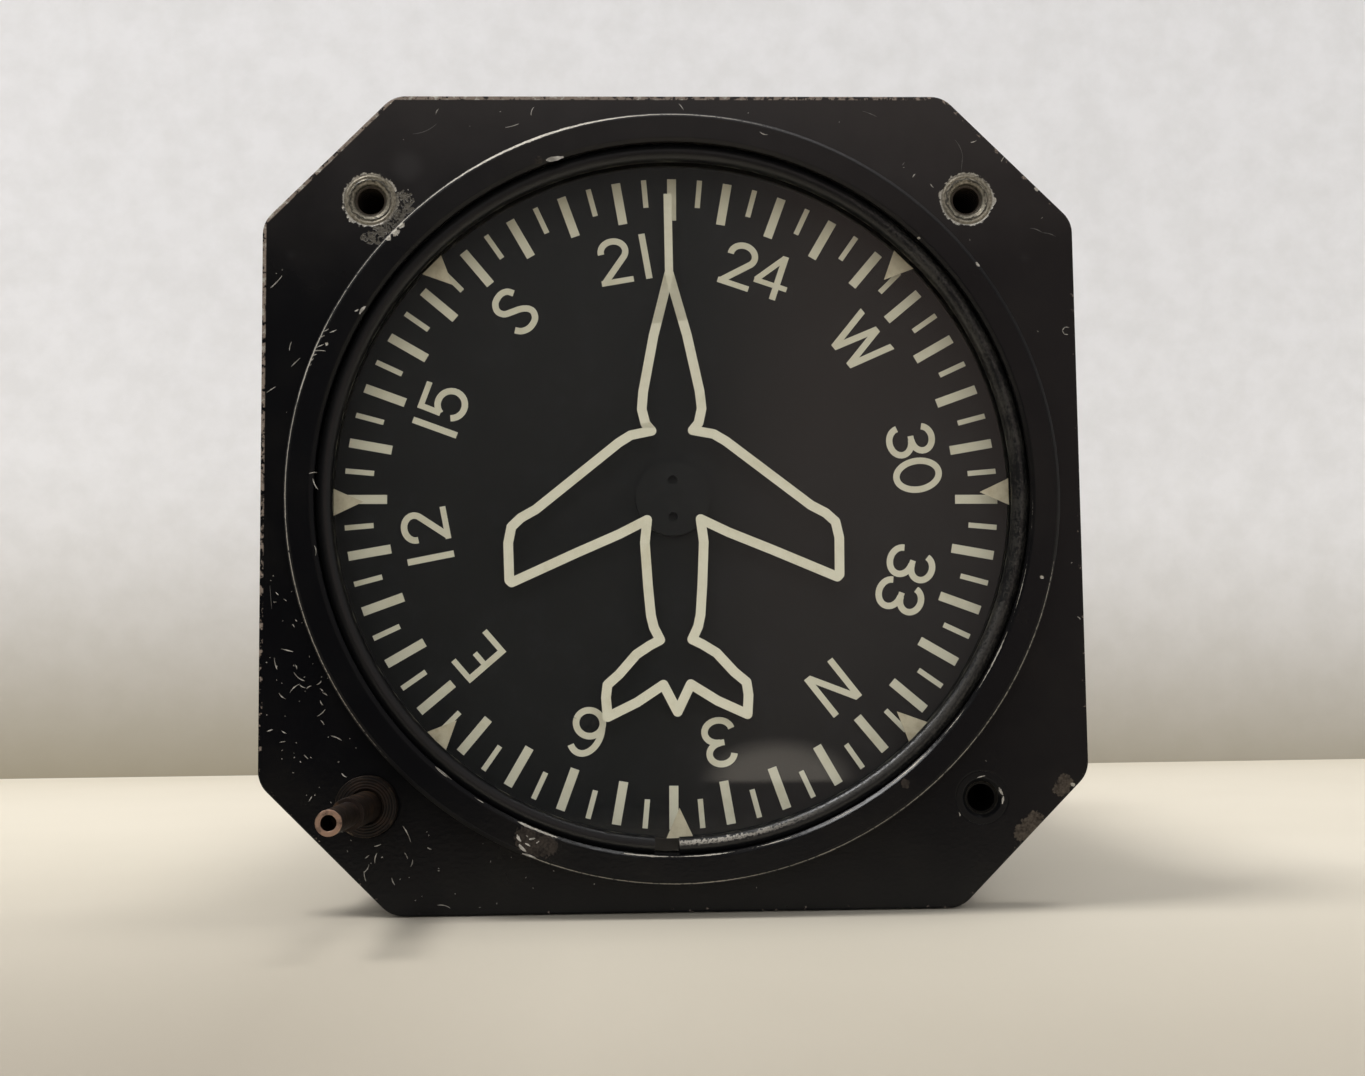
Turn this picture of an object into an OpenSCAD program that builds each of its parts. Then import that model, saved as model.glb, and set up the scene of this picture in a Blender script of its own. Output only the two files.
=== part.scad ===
// Air-driven directional gyro for a standard round panel cut-out.
// Millimetres. X is to the right of the face, Z is up, and Y runs back into the panel.
// The front of the mounting flange is the plane y = 0, and the axis of the boss is the Y axis.

/* [Panel fit] */
// Diameter of the round boss that fills the panel cut-out
boss_d = 79; // [66:0.5:95]
// How far the boss stands in front of the flange
boss_h = 4.2; // [3.2:0.1:5.2]
// Flange left round the boss on each side
flange_rim = 3.05; // [2.5:0.05:4]
// Thickness of the flange
flange_t = 4.8; // [4:0.1:5.8]
// From the edge of the boss to the axis of a panel screw
screw_margin = 4.956; // [4.6:0.002:6]
// From a panel screw to the cut corner of the flange
corner_margin = 6.17; // [5.6:0.01:7.4]
// Rounding where a cut corner meets an edge
corner_r = 3; // [1:0.1:4]

/* [Panel screw inserts] */
// Minor radius of the panel screw thread
insert_bore_r = 1.4; // [1:0.05:1.6]
// Outer radius of an insert
insert_r = 2.7; // [2.4:0.05:3.2]
// Radius of the worn mouth of an insert
insert_mouth_r = 2.05; // [1.7:0.05:2.2]
// Overall length of an insert, which is blind
insert_len = 11; // [9.5:0.1:13]
// Solid floor at the blind end
insert_floor = 1.2; // [0.8:0.1:2]
// Radius of the head of an insert, behind the flange
insert_head_r = 3.5; // [3.2:0.05:3.6]

/* [Case] */
// Wall of the boss outside the glass
boss_wall = 3; // [2.5:0.1:3.6]
// Bevel on the inner and outer edge of the boss
boss_bevel = 0.35; // [0.1:0.05:0.5]
// Wall of the round body
case_wall = 2.4; // [1.8:0.1:3]
// Step from the boss down to the round body
case_step = 0.1; // [0:0.05:0.5]
// Fillet where the round body meets the flange
root_r = 1; // [0.6:0.1:1.2]
// Free length behind the gimbals
rear_room = 22; // [12:1:40]
// Radius of the lugs for the rear screws
lug_r = 3.4; // [3:0.1:4.5]
// Length of the lugs
lug_len = 10; // [6:1:16]
// Length of the taper that ends a lug
lug_nose = 5; // [2:0.5:8]
// Radius at the end of the taper
lug_nose_r = 2.2; // [1.9:0.1:2.8]

/* [Glass] */
// Thickness of the glass
glass_t = 3; // [2:0.1:3.6]
// Wire diameter of the retaining ring
wire_d = 1.8; // [1.2:0.1:2]
// From the front of the boss to the retaining ring
wire_setback = 1; // [0.6:0.1:1.6]
// Angle left open between the ends of the retaining ring
wire_gap_angle = 4; // [3:0.5:20]
// Turn of that opening from the foot of the face, clockwise
wire_gap_turn = 1.8; // [-10:0.1:10]
// Thickness of the gasket
gasket_t = 0.7; // [0.4:0.1:1.2]
// Thickness of the mask ring
mask_t = 0.6; // [0.4:0.1:1]
// How far the mask ring reaches in from the glass bore
mask_w = 1.3; // [1.2:0.1:2.2]

/* [Markings] */
// Height of the print on the glass and on the card
print_t = 0.05; // [0.03:0.01:0.1]
// Turn of the print on the glass, anticlockwise
print_turn = 0.5; // [-2:0.1:2]
// Width of a line of the aeroplane outline
outline_w = 1; // [0.6:0.1:1.4]
// Width of the line from the nose of the aeroplane towards the rim
nose_line_w = 0.85; // [0.6:0.05:1.2]
// From the mask ring to the end of that line
nose_line_gap = 3; // [2:0.1:4]
// Width of an index triangle at its base
index_w = 2.8; // [2:0.1:3.6]
// Height of an index triangle
index_h = 3.1; // [1.8:0.1:3.4]
// Heading under the nose of the aeroplane
heading = 219.6; // [0:0.2:359.8]
// Length of the ten-degree marks
long_mark = 4.5; // [3:0.1:5]
// Length of the five-degree marks
short_mark = 3; // [1.5:0.1:3.6]
// Width of the ten-degree marks
long_mark_w = 0.95; // [0.6:0.05:1.2]
// Width of the five-degree marks
short_mark_w = 0.55; // [0.4:0.05:0.8]

/* [Card] */
// From the mask ring back to the card
card_gap = 2.4; // [2:0.1:3.5]
// Thickness of the card
card_t = 0.8; // [0.6:0.1:1.2]
// From the outer ends of the marks to the rim of the card
mark_margin = 1.15; // [0.5:0.05:1.5]
// Radius of the disc in the middle of the card
hub_r = 3.9; // [3:0.1:5]
// Height of that disc
hub_t = 1.2; // [0.8:0.1:1.4]
// Radius of the card shaft
arbor_r = 1.5; // [1.2:0.1:2]

/* [Gears] */
// Teeth of the card gear
card_teeth = 96; // [96:24:96]
// Teeth of the idler
idler_teeth = 20; // [20:20:20]
// Teeth of the setting pinion
pinion_teeth = 12; // [12:12:12]
// Teeth of each bevel gear
bevel_teeth = 60; // [60:12:60]
// Thickness of the spur gears
gear_t = 1.8; // [1.2:0.1:2.2]
// From the card back to the spur gears
gear_gap = 2.9; // [2.6:0.1:3.6]
// Face width of the bevel teeth
bevel_face = 3.5; // [2.5:0.1:4.5]

/* [Bridge] */
// Thickness of the bridge plate
bridge_t = 1.6; // [1.2:0.1:2.4]
// Width of the shoulder that the bridge rests on
shoulder_w = 4.4; // [3.8:0.1:5.5]
// Depth of that shoulder
shoulder_t = 2.2; // [1.8:0.1:3]

/* [Gimbals] */
// Room between the outer gimbal and the case wall
gimbal_room = 9; // [8.5:0.1:10.5]
// Radial thickness of the outer gimbal
outer_ring_t = 3; // [2.6:0.1:3.6]
// Width of the outer gimbal
outer_ring_w = 7; // [6:0.1:8]
// Radial thickness of the inner gimbal
inner_ring_t = 3.2; // [2.8:0.1:3.8]
// Height of the inner gimbal
inner_ring_w = 6; // [5.4:0.1:7]
// Radius of the gimbal pivots
pivot_r = 1.5; // [1.2:0.1:1.8]
// Radius of the trunnions and of the ends of the rotor axle
trunnion_r = 1; // [0.8:0.05:1.2]
// Width of the rotor rim
rotor_w = 14; // [10:0.5:14]
// Number of buckets round the rotor
bucket_n = 24; // [12:1:36]
// Radius of a bucket
bucket_r = 1.5; // [1:0.1:1.6]

/* [Setting shaft] */
// Radius of the shaft
shaft_r = 1.58; // [1.4:0.02:1.7]
// Radius of the turned-down end that carries the knob
spindle_r = 1.18; // [1:0.02:1.3]
// Length of that end
spindle_len = 11.4; // [8:0.2:14]
// Radius of the hole in that end
spindle_bore_r = 0.72; // [0.5:0.02:0.8]
// How far the shaft stands in front of the flange
shaft_out = 25.6; // [20:0.2:30]
// Radius of the collar of the bushing
collar_r = 3.1; // [2.8:0.05:3.6]
// Height of the collar of the bushing
collar_h = 1.8; // [1:0.1:2.5]
// Wire diameter of the return spring
spring_wire = 0.5; // [0.3:0.05:0.5]
// Turns of the return spring
spring_turns = 6.5; // [5:0.5:7]

/* [Rear] */
// Thickness of the rear cover
cover_t = 4; // [3:0.1:6]
// Thickness of the rear gasket
rear_gasket_t = 0.8; // [0.5:0.1:1.5]
// From the middle of the cover to each air connection
port_offset = 15; // [13:0.5:18]
// Radius of the tapped port in the vacuum fitting
port_r = 4.37; // [4:0.01:4.6]
// Depth of the tapped port
port_depth = 10; // [8:0.5:12]
// Width across the flats of the vacuum fitting
hex_af = 15; // [13:0.5:17]
// Outer radius of the filter housing
filter_r = 9.5; // [8:0.5:11]

/* [Fits] */
// Radial clearance of a piece that is pressed or seated
seat_gap = 0.02; // [0.01:0.01:0.05]
// Radial clearance of a piece that runs
run_gap = 0.04; // [0.02:0.01:0.08]
// Clearance of a loose piece in its bore
loose_gap = 0.1; // [0.05:0.05:0.2]
// Clearance between pieces that pass each other
pass_gap = 0.3; // [0.25:0.05:0.5]

/* [Hidden] */
$fn = 96;
eps = 0.01;

// Front of the case, along the Y axis
boss_r = boss_d / 2;
flange_w = boss_d + 2 * flange_rim;
glass_bore_r = boss_r - boss_wall;
boss_y = -boss_h;
wire_y = boss_y + wire_setback + wire_d / 2;
glass_y = wire_y + wire_d / 2;
print_y = glass_y + glass_t;
mask_y = print_y + gasket_t;
ledge_y = mask_y + mask_t;
glass_r = glass_bore_r - loose_gap;
mask_in_r = glass_bore_r - mask_w;
wire_r = glass_bore_r + loose_gap - wire_d / 2;
ledge_w = 0.6;

// Card and the gear train behind it
card_bore_r = glass_bore_r - ledge_w;
card_r = card_bore_r - pass_gap;
card_y = ledge_y + card_gap;
card_back_y = card_y + card_t;
mark_r = card_r - mark_margin;
gear_y = card_back_y + gear_gap;
gear_back_y = gear_y + gear_t;
bridge_y = gear_back_y + 0.5;
bridge_back_y = bridge_y + bridge_t;
bridge_r = card_bore_r - pass_gap;
shoulder_in_r = card_bore_r - shoulder_w;
shoulder_back_y = bridge_back_y + shoulder_t;
bridge_screw_r = card_bore_r - shoulder_w / 2;
bridge_screw_bore = 1;
bridge_screw_angles = [165, 45, 285];
bearing_r = 3.5;

// Panel screws and the setting shaft share one square pattern
screw_dist = boss_r + screw_margin;
screw_pos = screw_dist / sqrt(2);
train_angle = 225;
mesh_gap = 0.03;
gear_sum = (card_teeth + 2 * idler_teeth + pinion_teeth) / 2;
gear_module = (screw_dist - 2 * mesh_gap) / gear_sum;
addendum = 0.8 * gear_module;
dedendum = 1.15 * gear_module;
backlash = 0.16 * gear_module;
card_gear_r = card_teeth * gear_module / 2;
idler_r = idler_teeth * gear_module / 2;
pinion_r = pinion_teeth * gear_module / 2;
idler_dist = card_gear_r + mesh_gap + idler_r;
idler_tip_r = idler_r + addendum;
pinion_tip_r = pinion_r + addendum;
stud_r = 1.2;

// Setting shaft, from the flange back
bushing_r = collar_r - 0.5;
collar_seat = 0.4;
spindle_bore_depth = 6;
groove_r = shaft_r - 0.25;
pinion_y = flange_t + pass_gap;
push = gear_y - pinion_y;
fork_y = pinion_y + gear_t + 0.2;
fork_t = 1;
clip_y = fork_y + fork_t + 0.1;
clip_t = 0.8;
clip_r = 2.6;
spring_y = clip_y + clip_t;
spring_len = push + 4.2;
spring_r = 2.15;
spring_seat_y = spring_y + spring_len;
shaft_end_y = spring_seat_y + 1.8;
shaft_bore_y = shaft_end_y + push + 0.6;
fork_r = 2.75;
guide_s = 4.9;
guide_d = screw_dist - 1.8;
guide_r = 0.6;

// Pocket and corner housing round the setting train
train_half = idler_tip_r + pass_gap + 0.05;
pinion_room_r = pinion_tip_r + 0.4;
pocket_y = flange_t + 0.1;
pocket_wall = 1.3;
guide_y = pocket_y + 0.2;
guide_end_y = bridge_back_y + 1.6;

// Body of the case
body_r = boss_r - case_step;
cavity_r = body_r - case_wall;

// Gimbals: both axes and the spin axis meet at y = gyro_y
gimbal_r = cavity_r - gimbal_room;
gimbal_in_r = gimbal_r - outer_ring_t;
gimbal_sweep = norm([gimbal_r, outer_ring_w / 2]);
dish_gap = 0.55;
cone_in = gimbal_sweep + dish_gap;
cone_out = cone_in + bevel_face;
pitch_cone = 45;
bevel_module = 2 * cone_out * sin(pitch_cone) / bevel_teeth;
tip_cone = 0.7 * bevel_module / cone_out * 180 / PI;
root_cone = 0.95 * bevel_module / cone_out * 180 / PI;
rim_cone = 3.2;
back_cone = pitch_cone - root_cone - rim_cone;
dish_t = 1.5;
dish_in = cone_in + 0.2;
dish_hub_r = 3.4;
dish_front = dish_in + dish_t + 0.4;
bearing_y = gear_back_y + 0.3;
bearing_back_y = bridge_back_y + 0.8;
gyro_y = bearing_back_y + 0.4 + dish_front;
case_end_y = gyro_y + gimbal_sweep + rear_room;
inner_r = gimbal_in_r - 1.2;
inner_in_r = inner_r - inner_ring_t;
rotor_r = sqrt(pow(inner_in_r - 1.6, 2) - pow(rotor_w / 2, 2));
trunnion_out = gimbal_r - 1;
race_r = 2.4;
race_t = 2.3;
pivot_end = cavity_r - 1;
plug_r = 5;
plug_in = pivot_end - 2.6;
plug_out = body_r - 0.5;
pivot_race_r = 3.5;
pad_r = 7.5;

// Rear of the case
lug_dist = body_r + 1.6;
lug_y = case_end_y - lug_len;
lug_angles = [45, 135, 225, 315];
rear_screw_r = 1.4;
cover_y = case_end_y + rear_gasket_t;
cover_back_y = cover_y + cover_t;
port_pad_r = 10;
port_pad_h = 1.5;
port_y = cover_back_y + port_pad_h;
spigot_r = 4.8;
spigot_len = 4.5;
air_r = 1.9;
fitting_len = port_depth + 5;
filter_len = 8;
screen_t = 0.6;
screen_pitch = 2.4;

// A cylinder along Y between two planes
module rod_y(r, y0, y1) {
    translate([0, y0, 0]) rotate([-90, 0, 0]) cylinder(r = r, h = y1 - y0);
}

// A ring along Y between two planes
module ring_y(r, bore, y0, y1) {
    difference() {
        rod_y(r, y0, y1);
        rod_y(bore, y0 - 1, y1 + 1);
    }
}

// A flat shape drawn as seen from the front, x to the right and z up, with its front at y0
module plate_y(y0, t) {
    translate([0, y0 + t, 0]) rotate([90, 0, 0]) linear_extrude(t) children();
}

// A turned piece: points are [radius, y]
module turned_y(points) {
    rotate([-90, 0, 0]) rotate_extrude() polygon(points);
}

// Moves a piece off the Y axis by a distance and a face angle, and sideways from there
module at_face(dist, angle, side = 0) {
    rotate([0, -angle, 0]) translate([dist, 0, side]) children();
}

// Copies children to the axis of each panel screw; the fourth corner belongs to the setting shaft
module at_panel_screws() {
    for (angle = [45, 135, 315]) at_face(screw_dist, angle) children();
}

// Copies children to the setting shaft
module at_shaft() {
    at_face(screw_dist, train_angle) rotate([0, train_angle, 0]) children();
}

// Puts a piece drawn round the vertical axis at the meeting point of the gyro's axes
module at_gyro() {
    translate([0, gyro_y, 0]) children();
}

// Octagon of the flange, with its eight corners rounded
module flange_outline() {
    half = flange_w / 2 - corner_r;
    cut = (screw_dist + corner_margin - corner_r) * sqrt(2) - half;
    corners = [for (sx = [-1, 1], sz = [-1, 1], swap = [0, 1])
        swap == 0 ? [sx * half, sz * cut] : [sx * cut, sz * half]];
    ring = [[half, cut], [cut, half], [-cut, half], [-half, cut], [-half, -cut], [-cut, -half],
        [cut, -half], [half, -cut]];
    for (p = corners) translate(p) circle(r = corner_r);
    polygon(ring);
    for (i = [0:7]) {
        a = ring[i];
        b = ring[(i + 1) % 8];
        along = (b - a) / norm(b - a);
        out = corner_r * [along[1], -along[0]];
        polygon([a + out, b + out, b, a]);
    }
}

// Outline of the pocket for the setting train, grown by a wall
module train_outline(grow) {
    corner = 2;
    end_d = guide_d + 0.1;
    side_d = train_half - corner;
    rotate(train_angle) {
        translate([shoulder_in_r, -train_half - grow]) square([end_d - shoulder_in_r, 2 * (train_half + grow)]);
        translate([shoulder_in_r, -side_d]) square([end_d + corner + grow - shoulder_in_r, 2 * side_d]);
        for (side = [-1, 1]) translate([end_d, side * side_d]) circle(r = corner + grow);
        translate([screw_dist, 0]) circle(r = pinion_room_r + grow);
    }
}

module case_housing() {
    color([0.09, 0.09, 0.1]) difference() {
        union() {
            plate_y(0, flange_t) flange_outline();
            turned_y([
                [0, boss_y], [boss_r - boss_bevel, boss_y], [boss_r, boss_y + boss_bevel], [boss_r, 0],
                [body_r + root_r, eps],
                for (angle = [0:15:90])
                    [body_r + root_r * (1 - sin(angle)), flange_t + root_r * (1 - cos(angle))],
                [body_r, case_end_y], [0, case_end_y]
            ]);
            plate_y(flange_t - eps, shoulder_back_y - flange_t + eps) train_outline(pocket_wall);
            at_shaft() rod_y(pinion_room_r + 0.4, shoulder_back_y - eps, shaft_bore_y + 1.2);
            for (angle = lug_angles) {
                at_face(lug_dist, angle) turned_y([
                    [0, lug_y - lug_nose], [lug_nose_r, lug_y - lug_nose], [lug_r, lug_y],
                    [lug_r, case_end_y], [0, case_end_y]
                ]);
            }
        }
        turned_y([
            [0, boss_y - 1], [glass_bore_r + boss_bevel + 1, boss_y - 1], [glass_bore_r, boss_y + boss_bevel],
            [glass_bore_r, ledge_y], [card_bore_r, ledge_y], [card_bore_r, bridge_back_y],
            [shoulder_in_r, bridge_back_y], [shoulder_in_r, shoulder_back_y], [cavity_r, shoulder_back_y],
            [cavity_r, case_end_y + 1], [0, case_end_y + 1]
        ]);
        ring_y(glass_bore_r + 2 * loose_gap, glass_bore_r - 1, wire_y - wire_d / 2 - 0.02, glass_y - eps);
        plate_y(pocket_y, bridge_back_y - pocket_y) train_outline(0);
        at_shaft() {
            rod_y(collar_r + seat_gap, -1, collar_seat);
            rod_y(bushing_r + seat_gap, -1, pocket_y + eps);
            rod_y(spring_r + spring_wire + 0.4, bridge_back_y - 1, spring_seat_y);
            rod_y(shaft_r + run_gap, spring_seat_y - 1, shaft_bore_y);
        }
        at_face(guide_d, train_angle, guide_s) rod_y(guide_r + seat_gap, bridge_back_y - 1, guide_end_y);
        at_panel_screws() rod_y(insert_r + seat_gap, -1, flange_t + 1);
        for (angle = bridge_screw_angles) {
            at_face(bridge_screw_r, angle) rod_y(bridge_screw_bore, bridge_back_y - 1, shoulder_back_y + 1);
        }
        for (angle = lug_angles) {
            at_face(lug_dist, angle) rod_y(rear_screw_r, lug_y + 2, case_end_y + 1);
        }
        at_gyro() cylinder(r = plug_r + seat_gap, h = 2 * boss_d, center = true);
    }
    color([0.09, 0.09, 0.1]) pivot_pads();
}

// Thickened seats for the pivot plugs inside the body
module pivot_pads() {
    at_gyro() for (side = [0, 180]) rotate([side, 0, 0]) difference() {
        translate([0, 0, plug_in]) cylinder(r = pad_r, h = cavity_r - plug_in + case_wall / 2);
        translate([0, 0, plug_in - 1]) cylinder(r = plug_r + seat_gap, h = boss_r);
    }
}

// Blind nuts pressed in from behind, so that a panel screw can't reach the case
module screw_inserts() {
    bevel = 0.5;
    drill_y = insert_len - insert_floor;
    color([0.62, 0.6, 0.55]) at_panel_screws() turned_y([
        [insert_mouth_r, 0], [insert_r, 0], [insert_r, flange_t + seat_gap],
        [insert_head_r, flange_t + seat_gap], [insert_head_r, insert_len - bevel],
        [insert_head_r - bevel, insert_len], [0, insert_len], [0, drill_y],
        [insert_bore_r, drill_y - insert_bore_r * tan(31)], [insert_bore_r, insert_mouth_r - insert_bore_r]
    ]);
}

module cover_glass() {
    color([0.8, 0.85, 0.85, 0.3]) rod_y(glass_r, glass_y, print_y);
}

module glass_gasket() {
    color([0.05, 0.05, 0.05]) ring_y(glass_r, mask_in_r, print_y, mask_y);
}

module mask_ring() {
    color([0.07, 0.07, 0.07]) ring_y(glass_r, mask_in_r, mask_y, ledge_y);
}

// Round wire bent into an open ring that springs into its groove
module glass_retaining_ring() {
    color([0.1, 0.1, 0.1]) rotate([-90, 0, 0]) translate([0, 0, wire_y])
        rotate([0, 0, 90 + wire_gap_turn + wire_gap_angle / 2])
            rotate_extrude(angle = 360 - wire_gap_angle) translate([wire_r, 0]) circle(d = wire_d, $fn = 48);
}

module lubber_marks() {
    base_r = sqrt(pow(mask_in_r, 2) - pow(index_w / 2, 2)) - seat_gap;
    tip_r = mask_in_r - index_h;
    color([0.72, 0.67, 0.54]) plate_y(print_y, print_t) rotate(print_turn)
        for (i = [1:7]) rotate(90 + 45 * i) polygon([[base_r, -index_w / 2], [base_r, index_w / 2], [tip_r, 0]]);
}

// Right half of a plain swept-wing aeroplane seen from above, nose up, in thousandths of the print radius
wing_points = [
    [50, 483], [84, 315], [89, 263], [79, 220], [61, 198], [123, 186], [159, 164], [407, -31], [451, -55],
    [479, -81], [489, -129], [487, -238], [480, -245], [288, -161], [162, -108], [79, -67], [87, -135],
    [80, -263], [73, -350], [65, -385], [47, -422], [77, -437], [118, -463], [169, -520], [204, -550],
    [209, -587], [205, -644], [118, -603], [40, -553]
];
nose_z = 671;
tail_z = -633;

function mirrored_back(points) = [for (i = [len(points) - 1:-1:0]) [-points[i][0], points[i][1]]];

module aeroplane_shape() {
    unit = mask_in_r / 1000;
    polygon(unit * concat([[0, nose_z]], wing_points, [[0, tail_z]], mirrored_back(wing_points)));
}

module aeroplane_outline() {
    line_top = mask_in_r - nose_line_gap;
    line_foot = nose_z * mask_in_r / 1000;
    color([0.8, 0.78, 0.67]) plate_y(print_y, print_t) rotate(print_turn) {
        difference() {
            offset(r = outline_w / 2, $fn = 16) aeroplane_shape();
            offset(r = -outline_w / 2, $fn = 16) aeroplane_shape();
        }
        translate([-nose_line_w / 2, line_foot]) square([nose_line_w, line_top - line_foot]);
    }
}

module compass_card() {
    color([0.13, 0.14, 0.15]) ring_y(card_r, arbor_r + seat_gap, card_y, card_back_y);
}

module card_graduations() {
    color([0.8, 0.78, 0.67]) plate_y(card_y - print_t, print_t) rotate(90 + heading) for (i = [0:71]) {
        long = i % 2 == 0;
        l = long ? long_mark : short_mark;
        w = long ? long_mark_w : short_mark_w;
        rotate(-5 * i) translate([mark_r - l, -w / 2]) square([l, w]);
    }
}

module card_hub() {
    color([0.12, 0.12, 0.13]) difference() {
        rod_y(hub_r, card_y - hub_t, card_y);
        for (side = [-1, 1]) translate([0, 0, side * hub_r / 2]) rod_y(0.5, card_y - hub_t - 1, card_y - 0.3);
    }
}

module card_shaft() {
    color("silver") rod_y(arbor_r, card_y, gyro_y - dish_in);
}

// Involute spur gear outline, with a tooth on the x axis when phase is 0
function involute(a) = tan(a) * 180 / PI - a;
function half_tooth(r, base, at_pitch) = at_pitch + involute(20) - involute(acos(min(1, base / r)));
function polar(r, a) = [r * cos(a), r * sin(a)];

module spur_outline(teeth, steps, phase = 0) {
    pitch = teeth * gear_module / 2;
    base = pitch * cos(20);
    root = pitch - dedendum;
    tip = pitch + addendum;
    start = max(base, root);
    at_pitch = 90 / teeth - backlash / pitch * 45 / PI;
    radii = [for (s = [0:steps]) start + (tip - start) * s / steps];
    flank = [for (r = radii) [r, half_tooth(r, base, at_pitch)]];
    foot = flank[0][1] + (root < start ? 0.3 : 0.05);
    polygon([for (k = [0:teeth - 1]) let (mid = phase + k * 360 / teeth) each concat(
        [polar(root, mid - foot)],
        [for (f = flank) polar(f[0], mid - f[1])],
        [for (i = [steps:-1:0]) polar(flank[i][0], mid + flank[i][1])],
        [polar(root, mid + foot)]
    )]);
}

module card_spur_gear() {
    holes_r = (card_gear_r + hub_r) / 2;
    color("darkgoldenrod") difference() {
        union() {
            plate_y(gear_y, gear_t) spur_outline(card_teeth, 1);
            rod_y(hub_r, card_back_y, gear_back_y + 0.1);
        }
        rod_y(arbor_r + seat_gap, 0, bridge_back_y);
        for (angle = [0:60:300]) at_face(holes_r, angle) rod_y(holes_r * 0.38, gear_y - 1, gear_back_y + 1);
    }
}

module idler_gear() {
    color("goldenrod") at_face(idler_dist, train_angle) rotate([0, train_angle, 0]) difference() {
        plate_y(gear_y, gear_t) spur_outline(idler_teeth, 4, train_angle + 180 / idler_teeth);
        rod_y(stud_r + run_gap, gear_y - 1, gear_back_y + 1);
    }
}

module idler_stud() {
    color("silver") at_face(idler_dist, train_angle) {
        rod_y(stud_r + 1, gear_y - 0.7, gear_y - 0.1);
        rod_y(stud_r, gear_y - 0.7, bridge_back_y);
        rod_y(stud_r + 0.8, gear_back_y + 0.1, bridge_y);
    }
}

// Plate that carries the card bearing and, on a tongue, the idler stud
module dial_bridge() {
    window_r = 6.5;
    window_dist = (shoulder_in_r + bearing_r) / 2;
    color([0.6, 0.6, 0.62]) difference() {
        plate_y(bridge_y, bridge_t) {
            circle(r = bridge_r);
            rotate(train_angle) {
                translate([0, -5]) square([idler_dist, 10]);
                translate([idler_dist, 0]) circle(r = 5);
            }
        }
        rod_y(bearing_r + seat_gap, 0, bridge_back_y + 1);
        for (i = [0:4]) {
            at_face(window_dist, train_angle + 60 + i * 60) rod_y(window_r, 0, bridge_back_y + 1);
        }
        for (angle = bridge_screw_angles) {
            at_face(bridge_screw_r, angle) rod_y(bridge_screw_bore + loose_gap, 0, bridge_back_y + 1);
        }
        at_face(idler_dist, train_angle) rod_y(stud_r + seat_gap, 0, bridge_back_y + 1);
    }
}

module slotted_screw(r, head_r, head_t, y0, y1) {
    difference() {
        union() {
            rod_y(head_r, y0 - head_t, y0);
            rod_y(r, y0 - eps, y1);
        }
        translate([-head_r, y0 - head_t - 1, -0.25]) cube([2 * head_r, 1 + head_t / 2, 0.5]);
    }
}

module bridge_screws() {
    color("silver") for (angle = bridge_screw_angles) at_face(bridge_screw_r, angle)
        slotted_screw(bridge_screw_bore - seat_gap, 1.8, 1, bridge_y, shoulder_back_y);
}

module card_bearing() {
    color("peru") difference() {
        union() {
            rod_y(bearing_r, bearing_y, bridge_back_y);
            rod_y(bearing_r + 1.5, bridge_back_y, bearing_back_y);
        }
        rod_y(arbor_r + run_gap, 0, gyro_y);
    }
}

// Dished carrier of a bevel gear, drawn round +Z with the cone point at the origin
module bevel_cup(bore) {
    dish_out = dish_in + dish_t;
    reach = cone_out * 2;
    difference() {
        union() {
            intersection() {
                difference() {
                    sphere(r = dish_out, $fn = 96);
                    sphere(r = dish_in, $fn = 96);
                }
                cylinder(h = reach, r1 = 0, r2 = reach * tan(back_cone));
            }
            translate([0, 0, dish_in]) cylinder(r = dish_hub_r, h = dish_front - dish_in);
        }
        cylinder(r = bore, h = reach);
        cylinder(r = dish_hub_r + 2, h = dish_in);
        for (a = [30:60:330]) rotate(a) translate([cone_out * 0.36, 0, 0]) cylinder(r = 2.6, h = reach);
    }
}

// Ring of bevel teeth: every tooth runs along straight lines towards the cone point
function cone_point(rho, cone, turn) = rho * [sin(cone) * cos(turn), sin(cone) * sin(turn), cos(cone)];
function quad(a, b, c, d) = [[a, b, c], [a, c, d]];

module bevel_ring(phase) {
    pitch = 360 / bevel_teeth;
    pitch_r = cone_out * sin(pitch_cone);
    half = pitch / 4 - 0.08 * bevel_module / pitch_r * 180 / PI;
    slope = tan(20) / sin(pitch_cone);
    half_tip = half - tip_cone * slope;
    half_root = half + root_cone * slope;
    edges = [[-half_root, -root_cone], [-half_tip, tip_cone], [half_tip, tip_cone], [half_root, -root_cone]];
    stations = [for (k = [0:bevel_teeth - 1], e = edges) [phase + k * pitch + e[0], pitch_cone + e[1]]];
    n = len(stations);
    points = [for (s = stations) each [
        cone_point(cone_in, back_cone, s[0]),
        cone_point(cone_in, s[1], s[0]),
        cone_point(cone_out, s[1], s[0]),
        cone_point(cone_out, back_cone, s[0])
    ]];
    faces = [for (i = [0:n - 1], side = [0:3]) let (
        a = 4 * i + side,
        b = 4 * i + (side + 1) % 4,
        c = 4 * ((i + 1) % n) + (side + 1) % 4,
        d = 4 * ((i + 1) % n) + side
    ) each quad(a, b, c, d)];
    polyhedron(points, faces);
}

module facing_card() {
    at_gyro() rotate([90, 0, 0]) children();
}

module facing_floor() {
    at_gyro() rotate([180, 0, 0]) children();
}

module card_bevel_cup() {
    color([0.7, 0.7, 0.72]) facing_card() bevel_cup(arbor_r + seat_gap);
}

module card_bevel_teeth() {
    color("goldenrod") facing_card() bevel_ring(0);
}

module gimbal_bevel_cup() {
    color([0.7, 0.7, 0.72]) facing_floor() bevel_cup(pivot_r + seat_gap);
}

module gimbal_bevel_teeth() {
    color("goldenrod") facing_floor() bevel_ring(180 / bevel_teeth);
}

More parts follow.
